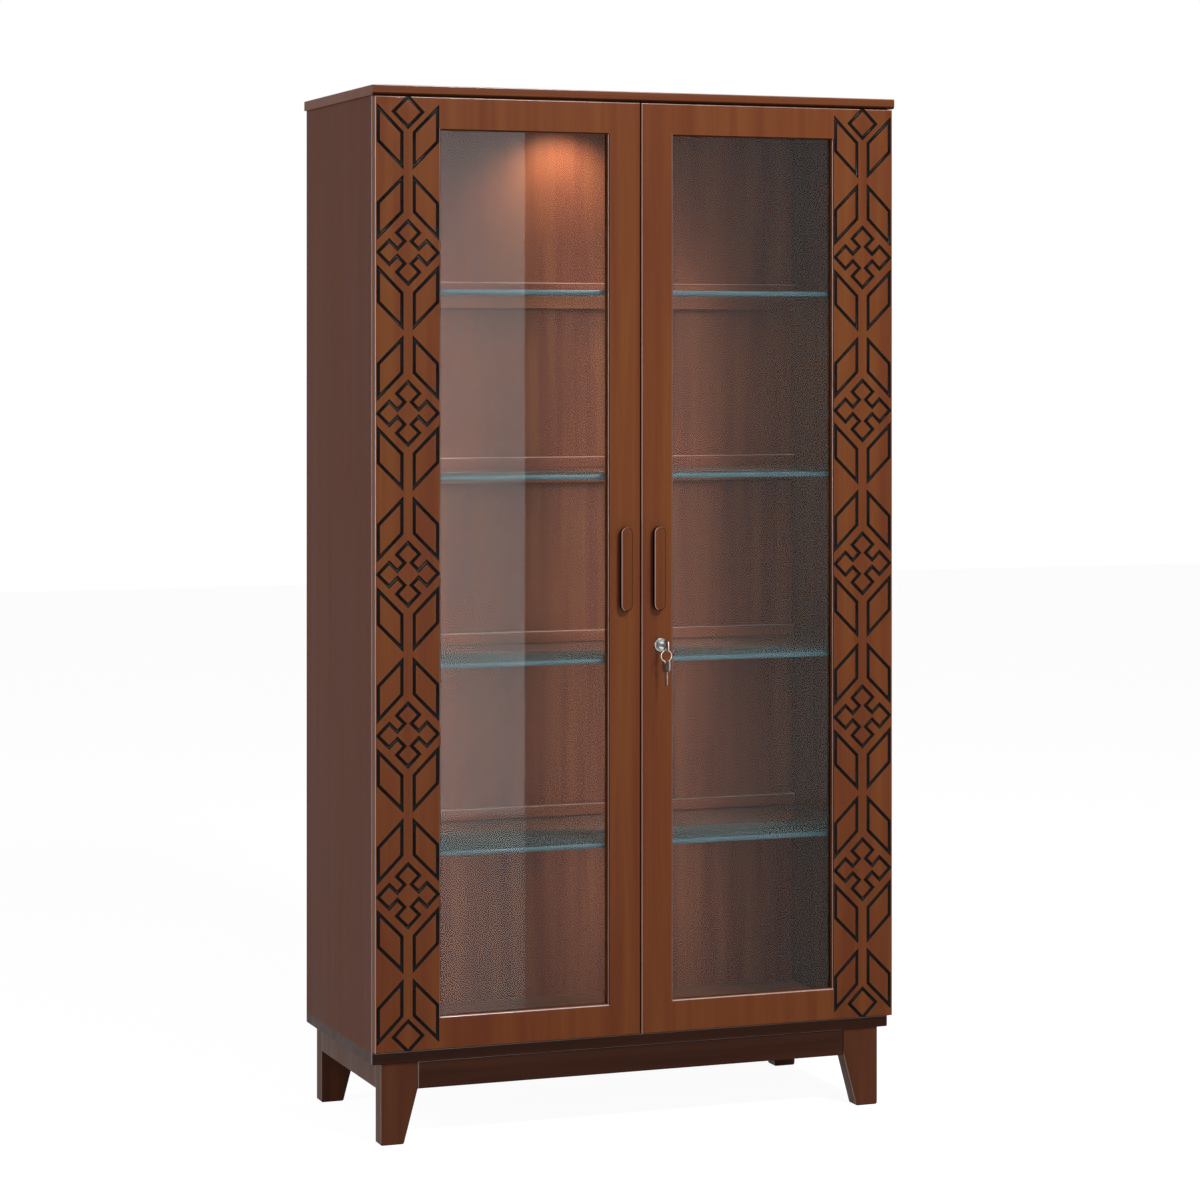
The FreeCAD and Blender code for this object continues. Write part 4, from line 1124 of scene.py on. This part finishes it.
@dataclass
class CeilingLamp:
    """A square lamp under the top panel, with a ring round its frosted lens.

    Lengths are in metres. bezel has the ring's heights, and how much wider than the lens it is there. glass
    has the lens' heights, the share of its radius there, and what is added to that.
    """

    rim: float = 0.0016
    proud: float = 0.0012
    radius: float = 0.021
    sides: int = 64
    bezel: tuple[tuple[float, float], ...] = (
        (0.0004, 0.001), (0.0, 0.0018), (0.0, 0.0042), (0.0006, 0.0050), (0.002, 0.0050))
    glass: tuple[tuple[float, float, float], ...] = (
        (0.0002, 0.0, 0.0), (0.0002, 0.6, 0.0), (0.0003, 1.0, 0.0), (0.0018, 1.0, 0.0008))

    def build(self, finishes: Finishes) -> None:
        """Builds the housing with its ring, and the lens."""
        low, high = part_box("ceiling_lamp")
        centre = ((low[0] + high[0]) / 2, (low[1] + high[1]) / 2, low[2])
        maker = MeshMaker()
        maker.block((low[0], low[1], low[2] + self.proud), high)
        maker.soften(self.rim, 4)
        maker.lathe(centre, UP, [(at, self.radius + wider) for at, wider in self.bezel], self.sides)
        housing = show("lamp_housing", maker.data("lamp_housing"), finishes.lamp_body)
        settle(housing, "carcass", "lamp_metal", "ceiling_lamp")
        maker = MeshMaker()
        profile = [(at, self.radius * share + more) for at, share, more in self.glass]
        maker.lathe(centre, UP, profile, self.sides)
        settle(show("lamp_lens", maker.data("lamp_lens"), finishes.lens), "carcass", "lamp_metal")


@dataclass
class KeyRing:
    """A split ring: two turns of flat wire, sprung shut.

    Lengths are in millimetres. apart is the lift from one turn to the other in wire depths, steep how soon
    the wire changes over, and slim the share of the wire that is left at its ends.
    """

    radius: float = 10.0
    wire_wide: float = 0.62
    wire_deep: float = 0.30
    turns: float = 1.96
    start: float = 0.6
    apart: float = 1.02
    steep: float = 14.0
    slim: float = 0.45
    steps: int = 160
    sides: int = 10
    crisp: float = 70.0

    def build(self, finishes: Finishes) -> None:
        """Winds the ring in the place of its CAD node."""
        maker = MeshMaker()
        low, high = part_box("key_ring")
        middle = (low + high) / 2
        side = Vector((1, 0, 0))
        rings = []
        for step in range(self.steps + 1):
            share = step / self.steps
            angle = math.tau * self.turns * share + self.start
            lift = self.wire_deep * self.apart * math.tanh((share - 0.5) * self.steep)
            outward = side * math.cos(angle) + UP * math.sin(angle)
            point = middle + (outward * self.radius + INWARDS * lift) * MM
            size = self.slim if step in (0, self.steps) else 1.0
            rings.append(maker.ring([point + (outward * math.cos(a) * self.wire_wide
                                              + INWARDS * math.sin(a) * self.wire_deep) * size * MM
                                     for a in (math.tau * s / self.sides for s in range(self.sides))]))
        maker.skin(rings)
        piece = show("split_key_ring", maker.data("split_key_ring", self.crisp), finishes.ring_steel)
        settle(piece, "key_ring", "key_metal", "key_ring")


@dataclass
class Keys:
    """The key in the lock and the spare one on the ring, stamped from plate.

    Lengths are in millimetres. cuts are the blade's cuts from its tip up, and cut_floor the share of a cut's
    pitch at which its floor begins and ends. lap is how far the blade reaches into the bow.
    """

    lock_x: float = 37.25
    lock_z: float = 861.0
    bow_front: float = -237.5
    bow_length: float = 22.0
    bow_width: float = 20.0
    corner: float = 5.0
    thickness: float = 2.4
    bow_rounding: float = 0.35
    hole: float = 3.0
    hole_edge: float = 4.7
    neck_end: float = -196.6
    neck_rounding: float = 0.3
    lap: float = 1.5
    blade_width: float = 6.0
    blade_length: float = 25.0
    blade_thickness: float = 1.8
    blade_rounding: float = 0.2
    cuts: tuple[float, ...] = (0.9, 1.7, 1.2, 2.0, 0.6)
    cut_floor: tuple[float, float] = (0.35, 0.6)
    first_cut: float = 2.6
    uncut: float = 8.0
    spare_hole: Point = (37.25, -226.5, 832.4)
    spare_turn: float = 18.0

    def arc(self, x: float, y: float, radius: float, start: float, sweep: float, count: int) -> Outline:
        """Points on an arc, in metres; angles in degrees."""
        angles = [math.radians(start + sweep * n / count) for n in range(count + 1)]
        return [((x + radius * math.cos(turn)) * MM, (y + radius * math.sin(turn)) * MM) for turn in angles]

    def bow(self, low: float, high: float) -> Outline:
        """The bow's rounded outline from low to high along Y, in metres."""
        half, r = self.bow_width / 2, self.corner
        corners = ((half - r, high - r), (r - half, high - r), (r - half, low + r), (half - r, low + r))
        return [point for turn, (x, y) in enumerate(corners)
                for point in self.arc(x, y, r, 90 * turn, 90, 6)]

    def blade(self, top: float, tip: float) -> Outline:
        """The blade's outline with its cuts, from top down to its tip, in metres."""
        half = self.blade_width / 2
        points = [(-half, top), (-half, tip + 1.6), (-half + 1.8, tip), (half - 1.5, tip),
                  (half - 0.2, tip + 2.2)]
        step = (top - tip - self.uncut) / len(self.cuts)
        for number, depth in enumerate(self.cuts):
            start = tip + self.first_cut + number * step
            points += [(half, start), *((half - depth, start + step * share) for share in self.cut_floor)]
        points += [(half, tip + self.first_cut + len(self.cuts) * step), (half, top)]
        return [(x * MM, y * MM) for x, y in points]

    def spare(self, finishes: Finishes, hole: Outline) -> None:
        """Stamps the key that hangs on the ring."""
        hang = Matrix.Translation(Vector(self.spare_hole) * MM) @ Matrix.Rotation(
            math.radians(self.spare_turn + 90), 4, "Z") @ Matrix.Rotation(math.radians(90), 4, "X")
        low = self.hole_edge - self.bow_length
        bow = flat_plate("spare_bow", [self.bow(low, self.hole_edge), hole], self.thickness * MM,
                         self.bow_rounding * MM, hang)
        blade = flat_plate("spare_blade", [self.blade(low + self.lap, low - self.blade_length)],
                           self.blade_thickness * MM, self.blade_rounding * MM, hang)
        key = show("spare_key_plate", ended(gathered([bow, blade]), "spare_key_plate"), finishes.key_steel)
        settle(key, "spare_key", "key_metal", "spare_key")

    def in_lock(self, finishes: Finishes, hole: Outline) -> None:
        """Stamps the key in the lock, up to where its neck enters the plug."""
        turn = Matrix(((0, 0, 1, self.lock_x * MM), (1, 0, 0, 0), (0, 1, 0, 0), (0, 0, 0, 1)))
        half = self.bow_length / 2
        middle = self.bow_front + half
        level = self.lock_z - self.bow_width / 2
        shifted = [(x + middle * MM, y + (level + self.hole_edge) * MM) for x, y in hole]
        outline = [(y + middle * MM, x + self.lock_z * MM) for x, y in self.bow(-half, half)]
        bow = flat_plate("lock_key_bow", [outline, shifted], self.thickness * MM,
                         self.bow_rounding * MM, turn)
        start, half = middle + half - self.lap, self.blade_width / 2
        corners = ((start, -half), (self.neck_end, -half), (self.neck_end, half), (start, half))
        neck = flat_plate("lock_key_neck", [[(y * MM, (self.lock_z + z) * MM) for y, z in corners]],
                          self.thickness * MM, self.neck_rounding * MM, turn)
        key = show("lock_key_plate", ended(gathered([bow, neck]), "lock_key_plate"), finishes.key_steel)
        settle(key, "lock_plug", "key_metal", "lock_key")

    def build(self, finishes: Finishes) -> None:
        """Stamps both keys."""
        hole = self.arc(0.0, 0.0, self.hole, 0, -345, 23)
        self.spare(finishes, hole)
        self.in_lock(finishes, hole)


@dataclass
class LockHousing:
    """The lock's turned collar and the barrel behind it.

    Lengths are in millimetres. mouth has how far behind the collar's front a point of its inner rim lies, and
    how much wider than the bore. face has the same for its front, with whole radii.
    """

    centre: Point = (37.25, 0.0, 861.0)
    collar_front: float = -200.5
    door_front: float = -197.5
    barrel_end: float = -172.5
    collar: float = 12.25
    rim: float = 1.0
    barrel: float = 8.9
    bore: float = 6.05
    mouth: tuple[tuple[float, float], ...] = ((0.5, 0.0), (0.1, 0.3), (0.0, 0.7))
    face: tuple[tuple[float, float], ...] = (
        (0.0, 8.9), (0.35, 9.2), (0.35, 9.7), (0.0, 10.0), (0.0, 11.2), (0.15, 11.75), (0.5, 12.1))
    thread_start: float = -178.0
    thread_rows: int = 16
    thread_depth: float = 0.35
    chamfer: float = 0.6
    sides: int = 72
    crisp: float = 30.0

    def build(self, finishes: Finishes) -> None:
        """Turns the collar with its rolled rim and ring groove, and the barrel with its thread."""
        front, back = self.collar_front, self.door_front
        profile = [(front + behind, self.bore + wider) for behind, wider in self.mouth]
        profile += [(front + behind, radius) for behind, radius in self.face]
        profile += [(front + self.rim, self.collar), (back, self.collar), (back, self.barrel)]
        start, end = self.thread_start, self.barrel_end - self.chamfer
        for row in range(self.thread_rows + 1):
            at = start + (end - start) * row / self.thread_rows
            profile.append((at, self.barrel - (self.thread_depth if row % 2 else 0.0)))
        profile += [(self.barrel_end, self.barrel - self.chamfer), (self.barrel_end, self.bore)]
        maker = MeshMaker()
        maker.lathe(tuple(c * MM for c in self.centre), INWARDS,
                    [(along * MM, radius * MM) for along, radius in profile], self.sides, tube=True)
        piece = show("lock_collar", maker.data("lock_collar", self.crisp), finishes.nickel)
        settle(piece, "right_door", "lock_metal", "lock_housing")


@dataclass
class Screws:
    """Cross-head screws of the hinges and of the back panel.

    Lengths are in millimetres, but back_inset and sunk, how far a cup's screws stand in its flange, in
    metres. domed has a head's heights and radii as shares, and arms the radii of its cross' points.
    """

    head_radius: float = 3.0
    dome: float = 1.0
    back_radius: float = 3.2
    back_dome: float = 0.9
    back_inset: float = 0.012
    back_gaps_up: int = 8
    back_gaps_across: int = 6
    domed: tuple[tuple[float, float], ...] = (
        (0.0, 1.0), (0.45, 0.97), (0.8, 0.8), (0.97, 0.55), (1.0, 0.34))
    arms: tuple[float, ...] = (0.3, 0.2, 0.11, 0.11, 0.2)
    cross_level: float = 0.35
    sides: int = 20
    crisp: float = 40.0
    spread: float = 0.8
    hinge_heights: tuple[float, ...] = (267.0, 998.5, 1730.0)
    cup_x: float = 469.5
    cup_off: float = 24.0
    sunk: float = 0.0001
    plate_x: float = 475.5
    plate_y: float = -142.0
    plate_off: float = 18.0

    def head(self, name: str, radius: float, dome: float) -> Mesh:
        """A domed screw head with a cross recess, standing on the XY plane."""
        maker = MeshMaker()

        def row(height: float, reaches: Sequence[float]) -> list[Vert]:
            """One ring of the head, with its points' radii as shares."""
            points = []
            for number in range(self.sides):
                angle, reach = math.tau * number / self.sides, reaches[number % len(reaches)]
                points.append((math.cos(angle) * radius * reach, math.sin(angle) * radius * reach,
                               dome * height))
            return maker.ring(points)

        rows = [row(height, (reach,)) for height, reach in self.domed]
        maker.skin([*rows, row(self.cross_level, self.arms)])
        return maker.data(name, self.crisp)

    def drive(self, name: str, head: Mesh, places: Sequence[Place], body: str,
              finishes: Finishes, repeater: Repeater, seed: int = 7) -> None:
        """Sets the screws of one kind.

        Args:
            name: The piece's name.
            head: The head that is repeated.
            places: Each screw's point and turn.
            body: The CAD body that carries them.
            finishes: The cabinet's materials.
            repeater: Repeats the head.
            seed: Fixes how far each cross is turned.
        """
        data = repeater.bake(name, head, places, finishes.screw_steel, spread=self.spread, seed=seed)
        settle(show(name, data), body, "hinge_steel")

    def hinge_screws(self, side: Side, finishes: Finishes, repeater: Repeater) -> None:
        """Two screws in each cup's flange and two in each mounting plate."""
        word, sign = side.word, side.value
        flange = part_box(f"{word}_hinge_cups")[1][1]
        for kind, x, y, off, turn, body in (
                ("cup", self.cup_x, flange - self.sunk, self.cup_off, (-math.pi / 2, 0, 0), f"{word}_door"),
                ("plate", self.plate_x, self.plate_y * MM, self.plate_off, (0, -sign * math.pi / 2, 0),
                 "carcass")):
            places = [((sign * x * MM, y, (height + shift) * MM), Euler(turn))
                      for height in self.hinge_heights for shift in (-off, off)]
            head = self.head(f"{kind}_screw", self.head_radius * MM, self.dome * MM)
            self.drive(f"{word}_{kind}_screws", head, places, body, finishes, repeater)

    def back_screws(self, finishes: Finishes, repeater: Repeater) -> None:
        """Small screws round the back panel's edge."""
        low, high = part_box("back_panel")
        inset, y = self.back_inset, high[1]
        turn = Euler((-math.pi / 2, 0, 0))
        places = []
        for step in range(self.back_gaps_up + 1):
            z = low[2] + inset + (high[2] - low[2] - 2 * inset) * step / self.back_gaps_up
            places += [((low[0] + inset, y, z), turn), ((high[0] - inset, y, z), turn)]
        for step in range(1, self.back_gaps_across):
            x = low[0] + inset + (high[0] - low[0] - 2 * inset) * step / self.back_gaps_across
            places += [((x, y, low[2] + inset), turn), ((x, y, high[2] - inset), turn)]
        head = self.head("back_screw", self.back_radius * MM, self.back_dome * MM)
        self.drive("back_panel_screws", head, places, "carcass", finishes, repeater, seed=11)

    def build(self, finishes: Finishes, repeater: Repeater) -> None:
        """Sets every screw where it is driven."""
        for side in Side:
            self.hinge_screws(side, finishes, repeater)
        self.back_screws(finishes, repeater)


@dataclass
class Studio:
    """The camera, the lamps and a white floor; places in metres, angles in degrees and powers in watts."""

    camera_at: Point = (-2.2258, -5.8806, 1.3781)
    yaw: float = -20.7
    lens: float = 102.5
    sensor: float = 36.0
    shift_y: float = -0.2033
    seen_to: float = 60.0
    floor_half: float = 14.0
    warm: Colour = (1.0, 0.98, 0.70)
    spot_at: Point = (-0.004, 0.1175, 1.8205)
    spot_turn: Point = (18.0, 2.0, 0.0)
    spot_power: float = 7.0
    spot_angle: float = 130.0
    spot_blend: float = 0.8
    spot_radius: float = 0.012
    sky: Colour = (0.93, 0.97, 1.0)
    sky_strength: float = 0.16

    def camera(self) -> None:
        """Sets the camera at the photograph's place."""
        data = bpy.data.cameras.new("photo_camera")
        data.lens, data.sensor_width, data.shift_y = self.lens, self.sensor, self.shift_y
        data.clip_end = self.seen_to
        data.dof.use_dof = False
        made = bpy.data.objects.new("photo_camera", data)
        made.location = self.camera_at
        made.rotation_euler = (math.radians(90.0), 0.0, math.radians(self.yaw))
        bpy.context.scene.collection.objects.link(made)
        bpy.context.scene.camera = made

    def floor(self) -> None:
        """Lays the floor."""
        maker = MeshMaker()
        half = self.floor_half
        corners = [(-half, -half, 0.0), (half, -half, 0.0), (half, half, 0.0), (-half, half, 0.0)]
        maker.mesh.faces.new(maker.ring(corners))
        floor = show("studio_floor", maker.data("studio_floor"), StudioWhite().material())
        floor.visible_glossy = False

    def area(self, name: str, at: Point, towards: Point, size: tuple[float, float], power: float,
             colour: Colour = WHITE) -> None:
        """Hangs a rectangular lamp.

        Args:
            name: The lamp's name.
            at: Its middle.
            towards: The point that it faces.
            size: Its width and height.
            power: Its power.
            colour: Its colour.
        """
        data = bpy.data.lights.new(name, "AREA")
        data.shape, data.size, data.size_y = "RECTANGLE", *size
        data.energy, data.color = power, colour
        made = bpy.data.objects.new(name, data)
        made.location = at
        made.rotation_euler = (Vector(towards) - Vector(at)).to_track_quat("-Z", "Y").to_euler()
        made.visible_camera = False
        bpy.context.scene.collection.objects.link(made)

    def spot(self) -> None:
        """Hangs the warm light of the cabinet's own lamp."""
        data = bpy.data.lights.new("cabinet_spot", "SPOT")
        data.energy, data.color = self.spot_power, self.warm
        data.spot_size, data.spot_blend = math.radians(self.spot_angle), self.spot_blend
        data.shadow_soft_size = self.spot_radius
        made = bpy.data.objects.new("cabinet_spot", data)
        made.location = self.spot_at
        made.rotation_euler = tuple(math.radians(angle) for angle in self.spot_turn)
        bpy.context.scene.collection.objects.link(made)

    def lamps(self) -> None:
        """Hangs the key, fill and side lamps, two panels that show in the door glass, and the spot."""
        self.area("key_lamp", (0.9, -3.4, 3.6), (0.0, -0.2, 1.5), (0.7, 0.7), 160.0)
        self.area("fill_lamp", (-1.8, -5.2, 1.9), (0.1, 0.0, 1.1), (1.0, 1.0), 26.0)
        self.area("side_lamp", (-4.6, -0.5, 1.9), (-0.4, 0.0, 1.0), (1.4, 2.4), 76.0)
        for name, x, width, power, colour in (
                ("left_glass_panel", 0.801, 0.8, 33.0, (0.93, 0.97, 1.0)),
                ("right_glass_panel", 2.45, 1.7, 12.0, (0.72, 0.97, 1.0))):
            self.area(name, (x, -4.2, 0.8), (x, -0.2, 0.8), (width, 3.0), power, colour)
        self.spot()

    def world(self) -> None:
        """A white surround for the eye, also by way of glass and metal, and a softer one as light."""
        sheet = ShaderSheet(bpy.data.worlds.new("studio_world"))
        soft = sheet.node("Background", Color=self.sky, Strength=self.sky_strength)
        white = sheet.node("Background", Color=WHITE, Strength=1.0)
        bpy.context.scene.world = sheet.surface(sheet.layered(sheet.looked_at(), soft, white), "OutputWorld")

    def build(self) -> None:
        """Sets up the whole studio."""
        self.camera()
        self.floor()
        self.lamps()
        self.world()
        bpy.context.scene.view_settings.view_transform = "Standard"


def dress_nodes(finishes: Finishes) -> None:
    """Gives every CAD node that stays the material of its slot."""
    slots = node_slots()
    for name, node in frame["nodes"].items():
        material = finishes.worn_by(name, slots[name])
        if not node.material_slots:
            node.data.materials.append(material)
        for slot in node.material_slots:
            slot.material = material
        LOG.info("%s wears %s", name, material.name)


def node_slots() -> dict[str, str]:
    """The material slot of each CAD node."""
    return {part["node"]: part["material_slot"] for part in frame["record"]["subparts"]}


def node_bodies() -> dict[str, str]:
    """The body that carries each CAD node."""
    bodies = frame["record"]["behaviour"]["bodies"]
    return {node: body for body, nodes in bodies.items() for node in nodes}


def main() -> None:
    """Builds the studio and every dressed piece, in order."""
    logging.basicConfig(level=logging.INFO, format="%(name)s: %(message)s")
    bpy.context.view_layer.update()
    Studio().build()
    finishes = Finishes()
    repeater = Repeater()
    dress_nodes(finishes)
    Joinery().build(finishes, node_bodies(), node_slots())
    for side in Side:
        CarvedLattice(side).build(finishes, repeater)
        DoorPull(side).build(finishes)
    Shelves().build(finishes)
    CeilingLamp().build(finishes)
    LockHousing().build(finishes)
    KeyRing().build(finishes)
    Keys().build(finishes)
    Screws().build(finishes, repeater)


if __name__ == "__main__":
    main()
